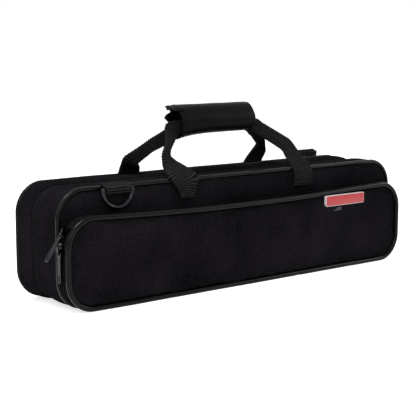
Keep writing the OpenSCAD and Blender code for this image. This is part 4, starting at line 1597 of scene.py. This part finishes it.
FRONT_STRAP = StrapRungs(
    left=(
        (-79.0, -29.5, 94.0, -66.0, -29.5, 94.0),
        (-79.4, -29.8, 92.2, -65.4, -29.8, 91.3),
        (-79.8, -31.2, 91.7, -64.8, -31.2, 90.9),
        (-80.2, -31.7, 92.4, -64.0, -31.6, 94.6),
        (-81.2, -31.7, 94.6, -61.0, -31.5, 102.6),
        (-83.6, -31.6, 99.4, -58.9, -30.6, 108.4),
        (-87.6, -30.9, 105.0, -61.6, -25.6, 114.2),
        (-91.2, -28.7, 110.4, -66.0, -21.5, 118.1),
        (-89.2, -17.5, 118.4, -70.4, -15.0, 122.1),
        (-86.4, -13.0, 125.0, -75.0, -11.0, 125.8),
        (-84.8, -11.0, 130.2, -75.3, -8.0, 128.9),
        (-80.8, -8.0, 134.9, -72.5, -6.0, 134.3),
        (-75.8, -4.5, 141.2, -66.5, -3.0, 139.6),
        (-73.0, -0.5, 150.0, -62.0, 0.0, 142.8),
        (-68.5, 2.5, 158.0, -56.5, 2.0, 146.0),
    ),
    inside=(
        (-45.0, 2.9, 160.0, -45.0, 2.9, 149.0),
        (-10.0, 2.9, 160.5, -10.0, 2.9, 149.5),
        (22.0, 2.9, 160.0, 22.0, 2.9, 149.0),
    ),
    right=(
        (44.3, 2.0, 157.3, 34.8, 3.0, 148.6),
        (51.3, 0.0, 152.8, 42.2, 2.0, 144.6),
        (62.5, -5.0, 145.5, 55.2, -3.0, 136.1),
        (72.0, -9.5, 139.4, 63.7, -8.0, 129.9),
        (77.8, -14.0, 134.3, 69.0, -12.0, 124.9),
        (83.3, -20.0, 123.6, 67.9, -18.0, 119.8),
        (89.8, -28.2, 111.8, 66.8, -26.0, 112.9),
        (92.3, -31.4, 103.4, 68.0, -31.2, 104.5),
        (92.0, -31.6, 92.8, 68.2, -31.6, 92.8),
        (92.0, -31.1, 91.1, 68.2, -31.1, 91.1),
        (91.9, -29.8, 91.5, 68.3, -29.8, 91.5),
        (91.8, -29.5, 94.0, 68.4, -29.5, 94.0),
    ),
)
BACK_STRAP = StrapRungs(
    left=(
        (-97.0, 43.7, 94.0, -73.0, 43.7, 94.0),
        (-97.0, 44.3, 91.6, -73.0, 44.3, 91.6),
        (-97.0, 45.1, 91.7, -73.0, 45.1, 91.7),
        (-97.0, 45.6, 93.0, -73.0, 45.6, 93.0),
        (-97.2, 45.4, 104.5, -72.8, 45.4, 104.0),
        (-97.4, 43.2, 110.4, -73.6, 42.9, 110.6),
        (-98.6, 37.5, 118.2, -80.1, 34.0, 115.0),
        (-102.2, 29.0, 123.9, -89.1, 25.0, 117.5),
        (-100.6, 27.0, 126.8, -90.2, 24.0, 118.3),
        (-93.7, 23.5, 131.4, -86.5, 22.0, 122.1),
        (-86.1, 20.0, 136.7, -81.0, 19.0, 126.8),
        (-78.8, 17.0, 142.0, -76.0, 16.0, 131.0),
        (-71.4, 13.5, 146.7, -67.2, 12.5, 135.5),
        (-62.7, 11.3, 151.4, -60.5, 11.3, 140.3),
    ),
    inside=(
        (-42.0, 11.3, 158.0, -42.0, 11.3, 147.0),
        (-10.0, 11.3, 161.0, -10.0, 11.3, 151.0),
        (26.0, 11.3, 161.0, 26.0, 11.3, 151.0),
    ),
    right=(
        (46.5, 9.5, 152.5, 40.0, 11.0, 145.0),
        (55.5, 12.0, 145.5, 46.5, 13.0, 140.5),
        (65.2, 16.5, 139.0, 54.0, 17.5, 136.9),
        (74.2, 22.0, 133.2, 64.5, 24.0, 130.7),
        (80.5, 28.0, 126.6, 68.9, 27.0, 128.4),
        (88.0, 35.0, 119.5, 68.4, 36.0, 119.8),
        (90.2, 42.9, 110.6, 66.4, 43.0, 110.4),
        (90.2, 45.4, 104.5, 66.2, 45.4, 104.5),
        (90.0, 45.6, 93.0, 66.0, 45.6, 93.0),
        (90.0, 45.1, 91.7, 66.0, 45.1, 91.7),
        (90.0, 44.3, 91.6, 66.0, 44.3, 91.6),
        (90.0, 43.7, 94.0, 66.0, 43.7, 94.0),
    ),
)


@dataclass(frozen=True)
class HandleSizes:
    """Sizes of the grip, in metres.

    Attributes:
        rise: Height of its axis above the case.
        bore: Radius inside.
        pad: Thickness of its cloth and foam.
        step: How far the fastening edge stands off the pad below it.
        edge: Thickness of the fastening edge.
        bind: Width of the binding at its ends.
        lift: How far its underside is pulled up between its ends.
        chord: How far from its left end the back of the pad lies pressed in.
        press: How much of its radius the pad loses there.
        fold_off: How far outside its half's plane a strap folds; it is not used.
        tape_short: How far the hook and loop tapes stay inside the grip's ends.
        stitch: Distance between stitches.
        stitch_size: Length, width and height of a stitch.
    """

    rise: float = 48.5 * MM
    bore: float = 13.5 * MM
    pad: float = 2.4 * MM
    step: float = 0.7 * MM
    edge: float = 1.2 * MM
    bind: float = 3.3 * MM
    lift: float = 4.9 * MM
    chord: float = 13 * MM
    press: float = 0.4
    fold_off: float = 2.1 * MM
    tape_short: float = 6 * MM
    stitch: float = 3.6 * MM
    stitch_size: tuple[float, float, float] = (2.6 * MM, 0.6 * MM, 0.5 * MM)

    @property
    def outer(self) -> float:
        """Radius outside the pad."""
        return self.bore + self.pad

    @property
    def tongue(self) -> float:
        """Radius inside the fastening edge."""
        return self.outer + self.step


class Handle:
    """Two straps in a padded grip.

    Angles round the grip are in degrees: 0 is the back and 90 the top.
    """

    PAD, FLAP, TAPE = (-96, 76), (46, 262), (49, 74)
    SEAMS, BINDING_SEAM = (246, 57), (108, 150)
    CORNER_ANGLE, CORNER_TURN, CORNER_HALF = 108, 4, 22

    def __init__(self, back: Shell, front: Shell, sizes: HandleSizes) -> None:
        """Reads the grip's place from the frame."""
        self.back, self.front, self.sizes = back, front, sizes
        self.webbing = Webbing()
        self.top = back.outline.high
        low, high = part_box("grip_pad")
        self.left, self.right = low.x, high.x
        self.axis_y = (back.plane + front.plane) / 2
        self.axis_z = self.top + sizes.rise
        self.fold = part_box("front_strap_ends")[1].z + 0.1 * MM

    def straps(self) -> None:
        """Both straps, each sewn to its half and bending there."""
        for name, body, handle, rungs, plane, m in (
            ("front", "lid", "front_handle", FRONT_STRAP, self.front.plane, 1),
            ("back", "back_half", "back_handle", BACK_STRAP, self.back.plane, -1),
        ):
            made = self.webbing.strip(f"{name}_webbing", rungs.all())
            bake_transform(made)
            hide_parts(f"{name}_strap", f"{name}_strap_ends")

    def arch(self, x: float, up: float) -> float:
        """How far the grip's cloth lies higher than a straight roll, at x, where its direction rises by up."""
        away = max(0.0, x - self.left)
        lift = self.sizes.lift * (1 - math.exp(-((away / (18 * MM)) ** 1.2)))
        return lift * ((1 - up) / 2) ** 2

    def on_roll(self, x: float, radius: float, angle: float, arched: bool = True) -> Vector:
        """The point at x that lies this far from the grip's axis, at an angle in radians."""
        c, v = math.cos(angle), math.sin(angle)
        lift = self.arch(x, v) if arched else 0.0
        return Vector((x, self.axis_y + radius * c, self.axis_z + radius * v + lift))

    def places(self, left: float, right: float, bound: bool) -> list[float]:
        """Places along the roll, closer together at its ends and round their bindings."""
        bind, last, parts = self.sizes.bind / MM, 8, 30
        marks = [0, 0.4, 1.5, 4, last]
        if bound:
            marks = [0, 0.2, 0.6, 1.2, 2, bind - 0.5, bind - 0.15, bind + 0.1, bind + 0.4, bind + 1, 6, last]
        middle = [left + last * MM + (right - left - 2 * last * MM) * (i / parts) for i in range(1, parts)]
        return [left + m * MM for m in marks] + middle + [right - m * MM for m in reversed(marks)]

    def relief(self, x: float, left: float, right: float, bound: bool) -> float:
        """How far the cloth stands out near an end, in millimetres: rounded off, and raised where it is bound."""
        near, bind = min(x - left, right - x) / MM, self.sizes.bind / MM
        found = -1.1 * math.exp(-near / 0.6)
        if bound:
            raised, groove = 0.3 / (1 + math.exp((near - bind) * 6)), ((near - bind - 0.1) / 0.4) ** 2
            found += raised - 0.5 * math.exp(-groove)
            found -= 1.2 * math.exp(-(right - x) / (1.5 * MM))
        return found

    def wrap(self, name: str, turn: tuple[float, float], radii: Callable[[float], tuple[float, float]],
             short: float = 0.0, bound: bool = True, pressed: bool = False) -> bpy.types.Object:
        """Part of the grip's roll.

        Args:
            name: The piece's name.
            turn: Its first and last angle.
            radii: Gives the inner and outer radius at an angle.
            short: How far its ends stay inside the grip's.
            bound: True gives both ends a raised binding.
            pressed: True presses its left end in.

        Returns:
            The object.
        """
        start, end = turn
        left, right = self.left + short, self.right - short
        cols = max(8, round((end - start) / 5))
        rows = []
        for x in self.places(left, right, bound):
            near, rim = min(x - left, right - x) / MM, self.relief(x, left, right, bound)
            outside, inside = [], []
            for k in range(cols + 1):
                u = k / cols
                angle = math.radians(start + (end - start) * u)
                degrees = math.degrees(angle)
                low, high = radii(degrees)
                edge = min(u, 1 - u) * (end - start) / 180 * math.pi * high / MM
                soft = 0.4 * noise.noise(Vector((x * 38, math.cos(angle) * 1.2, math.sin(angle) * 1.2)))
                kept = 1 - self.pressed(x, degrees) if pressed else 1.0
                outer = high + (rim + soft - 0.7 * math.exp(-edge / 0.5)) * MM
                inner = low + (0.3 * math.exp(-near / 0.5) + 0.2 * soft) * MM
                outside.append(self.on_roll(x, outer * kept, angle))
                inside.append(self.on_roll(x, inner * kept, angle))
            rows.append(outside + inside[::-1])
        return loft(name, rows, False, 60)

    def pressed(self, x: float, angle: float) -> float:
        """How much of its radius the pad loses at its pressed left end, at an angle."""
        part = self.ease(angle, -40, 8) * (1 - self.ease(angle, 52, 74))
        return self.sizes.press * part * math.exp(-(((x - self.left) / self.sizes.chord) ** 2))

    def lip(self) -> None:
        """The bound corner of the pad that is pressed out between the flap and the straps."""
        root, tip = self.left + 11 * MM, self.left - 8.8 * MM
        steps, sides, rows = 18, 12, []
        for i in range(steps + 1):
            t = i / steps
            x = root + (tip - root) * t
            blunt = math.sqrt(max(1 - (max(0.0, t - 0.8) / 0.2) ** 2, 0.02))
            middle = self.axis_z + (8.4 - 4.2 * t ** 1.2) * MM
            half = (6.2 - 3.2 * t) * blunt * MM
            row = []
            for k in range(sides + 1):
                a = math.pi * (k / sides - 0.5)
                bind = 0.45 * MM * self.ease(abs(math.sin(a)), 0.75, 0.95)
                y = self.axis_y + (3.4 + 1.6 * math.sin(a) - 1.6 * t) * MM
                thick = (1.1 * MM * math.cos(a) + bind) * blunt ** 0.5
                row.append((x, y, middle + half * math.sin(a), thick))
            front = [Vector((x, y - thick, z)) for x, y, z, thick in row]
            back = [Vector((x, y + thick, z)) for x, y, z, thick in reversed(row)]
            rows.append(front + back)
        made = loft("grip_lip", rows, False, 60)
        dress(made, "back_handle", "grip", GRIP)

    @staticmethod
    def ease(value: float, low: float, high: float) -> float:
        """0 below low, 1 above high, and smooth between."""
        t = max(0.0, min(1.0, (value - low) / (high - low)))
        return t * t * (3 - 2 * t)

    def flap_radii(self, angle: float) -> tuple[float, float]:
        """The flap's inner and outer radius, which rise over the pad at its fastening edge."""
        h, fit = self.sizes, 0.1 * MM
        over, swell = 1 - self.ease(angle, 92, 104), 1 - self.ease(angle, 98, 150)
        outer = h.outer + fit + (h.tongue + h.edge - h.outer - fit) * swell
        return h.bore + (h.tongue - h.bore) * over, outer

    def grip(self) -> None:
        """The pad, the free half with its fastening edge and corner, the tapes between them, and the seams."""
        h = self.sizes
        for name, body, turn, radii, pressed, node in (
            ("grip_back", "back_handle", self.PAD, lambda a: (h.bore, h.outer), True, "grip_pad"),
            ("grip_front", "grip_wrap", self.FLAP, self.flap_radii, False, "grip_flap"),
        ):
            made = self.wrap(name, turn, radii, pressed=pressed)
            dress(made, body, "grip", GRIP, node)
        for name, body, radii, node in (
            ("loop_strip", "back_handle", (h.outer - 0.2 * MM, h.outer + 0.35 * MM), "loop_tape"),
            ("hook_strip", "grip_wrap", (h.tongue - 0.6 * MM, h.tongue + 0.2 * MM), "hook_tape"),
        ):
            made = self.wrap(name, self.TAPE, lambda a, held=radii: held, h.tape_short, False)
            dress(made, body, "hook_loop", HOOKS, node)
        self.corner()
        self.seams()

    def seams(self) -> None:
        """The stitches along the flap's edges and bindings."""
        h, steps, inside, binding = self.sizes, 40, 6.5 * MM, self.sizes.bind - 0.9 * MM
        length, lines = self.right - self.left - 2 * inside, []
        for angle, radius in zip(self.SEAMS, (h.outer + 0.25 * MM, h.tongue + h.edge + 0.1 * MM)):
            xs = [self.left + inside + length * i / steps for i in range(steps + 1)]
            lines.append([self.on_roll(x, radius, math.radians(angle)) for x in xs])
        first, span = self.BINDING_SEAM
        angles = [math.radians(first + span * k / steps) for k in range(steps + 1)]
        for x in (self.left + binding, self.right - binding):
            lines.append([self.on_roll(x, self.flap_radii(math.degrees(a))[1] + 0.35 * MM, a) for a in angles])
        made = Spread.along("grip_stitches", lines, h.stitch, h.stitch_size, THREAD)
        dress(made, "grip_wrap", "grip", THREAD)

    def corner(self) -> None:
        """The corner of the fastening edge that sticks out at the left, thick bound and a little curled."""
        h, tip, root = self.sizes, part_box("grip_flap")[0].x, self.left + 5 * MM
        steps, sides, rows = 24, 8, []
        for i in range(steps + 1):
            t = i / steps
            x = root + (tip - root) * t
            blunt = math.sqrt(max(1 - (max(0.0, t - 0.72) / 0.28) ** 2, 0.01))
            middle, half = self.CORNER_ANGLE + self.CORNER_TURN * t, self.CORNER_HALF * blunt
            lift = (0.2 - 1.0 * t * t) * MM
            bind = 0.35 * MM * self.ease(t, 0.55, 0.8) * blunt
            outside, inside = [], []
            for k in range(sides + 1):
                a = math.radians(middle - half + 2 * half * k / sides)
                off = abs(2 * k / sides - 1) ** 6
                outside.append(self.on_roll(x, h.tongue + h.edge + bind + lift - 0.5 * MM * off, a, False))
                inside.append(self.on_roll(x, h.tongue - bind + lift + 0.3 * MM * off, a, False))
            rows.append(outside + inside[::-1])
        made = loft("grip_corner", rows, False, 60)
        dress(made, "grip_wrap", "grip", GRIP)

    def build(self) -> None:
        """Makes every piece of the handle."""
        self.straps()
        self.grip()
        self.lip()


class Rings:
    """The two webbing loops that hold the rings for a shoulder strap."""

    RADIUS = 2.95 * MM
    TAB = Webbing(thick=1.05 * MM, rib=0.22 * MM, even=MM, wide=10 * MM, folded=5 * MM)

    def __init__(self, back: Shell, front: Shell) -> None:
        """Keeps both halves."""
        self.back, self.front = back, front

    @staticmethod
    def bar(ring_node: str) -> tuple[float, float]:
        """Y and Z of the bar of a ring, which is 4 mm thick."""
        low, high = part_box(ring_node)
        return (low.y + high.y) / 2, high.z - 2 * MM

    def loop(self, name: str, node: str, bar: tuple[float, float], body: str,
             lead: Sequence[tuple[float, float]], turn: tuple[float, float]) -> None:
        """Makes one webbing loop round a ring's bar.

        Args:
            name: The piece's name.
            node: The CAD node that it stands for.
            bar: Y and Z of the bar.
            body: The body that it rides on.
            lead: The way from the seam to the bar, in Y and Z.
            turn: First and last angle round the bar, in degrees.
        """
        low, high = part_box(node)
        steps, path = 9, list(lead)
        for k in range(steps + 1):
            angle = math.radians(turn[0] + (turn[1] - turn[0]) * k / steps)
            path.append((bar[0] + self.RADIUS * math.cos(angle), bar[1] + self.RADIUS * math.sin(angle)))
        made = self.TAB.strip(name, [(high.x, y, z, low.x, y, z) for y, z in path])
        dress(made, body, "webbing", WEBBING, node)

    def build(self) -> None:
        """Makes both loops: over the front piping, and straight up from the back piping."""
        crest = self.front.outline.high + 0.8 * MM
        seam = self.front.plane + 0.75 * self.front.pipe
        lead = [(seam, crest - 1.8 * MM), (seam - 0.3 * MM, crest - 0.4 * MM), (seam - 1.6 * MM, crest)]
        self.loop("front_ring_loop", "front_tab", self.bar("front_ring"), "lid", lead, (80, 400))
        bar = self.bar("back_ring")
        foot, y = self.back.outline.high + 0.1 * MM, bar[0] - self.RADIUS
        lead = [(y, foot), (y, (foot + bar[1]) / 2)]
        self.loop("back_ring_loop", "back_tab", bar, "back_half", lead, (180, -140))


class Hardware:
    """The metal pieces, which keep the shape of their CAD nodes."""

    RINGS = ("front_ring", "back_ring")
    ZIPS = ("main", "pocket")

    def build(self) -> None:
        """Gives every metal node its plating."""
        zips = [f"{zipper}_{what}_{place}" for zipper in self.ZIPS for what in ("slider", "pull")
                for place in ("high", "low")]
        for name in (*self.RINGS, *zips):
            dress_node(name, METAL)


# ---------------------------------------------------------------- the studio


@dataclass(frozen=True)
class Lamp:
    """A soft lamp: where it hangs, its size and its power."""

    name: str
    place: tuple[float, float, float]
    size: float
    power: float

    def build(self, target: Vector) -> None:
        """Makes the lamp, turned to the target."""
        data = bpy.data.lights.new(self.name, "AREA")
        data.shape = "DISK"
        data.size = self.size
        data.energy = self.power
        made = bpy.data.objects.new(self.name, data)
        bpy.context.collection.objects.link(made)
        made.location = self.place
        made.rotation_euler = (target - Vector(self.place)).to_track_quat("-Z", "Y").to_euler()


class Studio:
    """Camera, floor, background and lamps."""

    EYE = Vector((-0.7412, -0.8650, 0.2362))
    TARGET = Vector((-0.0445, -0.0287, 0.0774))
    LENS = 99.09
    LAMPS = (
        Lamp("overhead", (-0.55, -0.15, 1.5), 0.7, 17),
        Lamp("window", (-0.65, 0.45, 1.3), 0.28, 7),
        Lamp("front", (-1.3, -1.5, 1.1), 0.9, 15),
        Lamp("side", (1.6, -0.9, 0.9), 0.8, 8),
    )
    FLOOR_REACH, FLOOR_Z, FLOOR_GREY, FLOOR_GLOW = 6.0, -0.0002, 0.82, 0.72
    SOFT, BRIGHT = 0.36, 0.64

    def camera(self) -> None:
        """The camera, as the photograph was taken."""
        data = bpy.data.cameras.new("camera")
        data.lens = self.LENS
        data.sensor_width = 36
        data.clip_start = 0.05
        made = bpy.data.objects.new("camera", data)
        bpy.context.collection.objects.link(made)
        made.location = self.EYE
        made.rotation_euler = (self.TARGET - self.EYE).to_track_quat("-Z", "Y").to_euler()
        bpy.context.scene.camera = made

    def floor(self) -> None:
        """A pale floor that shows white and keeps the case's shadow."""
        mesh = bpy.data.meshes.new("floor")
        reach, corners = self.FLOOR_REACH, ((-1, -1), (1, -1), (1, 1), (-1, 1))
        mesh.from_pydata([(x * reach, y * reach, self.FLOOR_Z) for x, y in corners], [], [(0, 1, 2, 3)])
        made = bpy.data.objects.new("floor", mesh)
        bpy.context.collection.objects.link(made)
        paper = bpy.data.materials.new("paper")
        paper.use_nodes = True
        graph = Graph(paper.node_tree)
        diffuse = graph.node("ShaderNodeBsdfDiffuse", None, {"Color": (*[self.FLOOR_GREY] * 3, 1)})
        glow = graph.node("ShaderNodeEmission", None, {"Color": WHITE, "Strength": graph.seen() * self.FLOOR_GLOW})
        both = graph.node("ShaderNodeAddShader", None, {0: graph.out(diffuse), 1: graph.out(glow)})
        graph.node("ShaderNodeOutputMaterial", None, {"Surface": graph.out(both)})
        mesh.materials.append(paper)

    def world(self) -> None:
        """A white background for the camera and for gloss, and a dimmer one for soft light."""
        world = bpy.data.worlds.new("studio")
        bpy.context.scene.world = world
        world.use_nodes = True
        graph = Graph(world.node_tree)
        strength = self.SOFT + self.BRIGHT * graph.seen()
        back = graph.node("ShaderNodeBackground", None, {"Color": WHITE, "Strength": strength})
        graph.node("ShaderNodeOutputWorld", None, {"Surface": graph.out(back)})

    def build(self) -> None:
        """Sets the whole studio up."""
        self.camera()
        self.floor()
        self.world()
        for lamp in self.LAMPS:
            lamp.build(self.TARGET)
        bpy.context.scene.view_settings.view_transform = "Standard"


def main() -> None:
    """Builds the case's looks in order."""
    logging.basicConfig(level=logging.INFO, format="%(message)s")
    noise.seed_set(SEED)
    Studio().build()
    sizes = ShellSizes()
    back, front = Shell(Half.BACK, sizes), Shell(Half.FRONT, sizes)
    back.build(0.4 * MM)
    front.build(0.45 * MM)
    Inside(back, front).build()
    Pocket(front, PocketSizes()).build()
    Handle(back, front, HandleSizes()).build()
    Rings(back, front).build()
    Hardware().build()


if __name__ == "__main__":
    main()
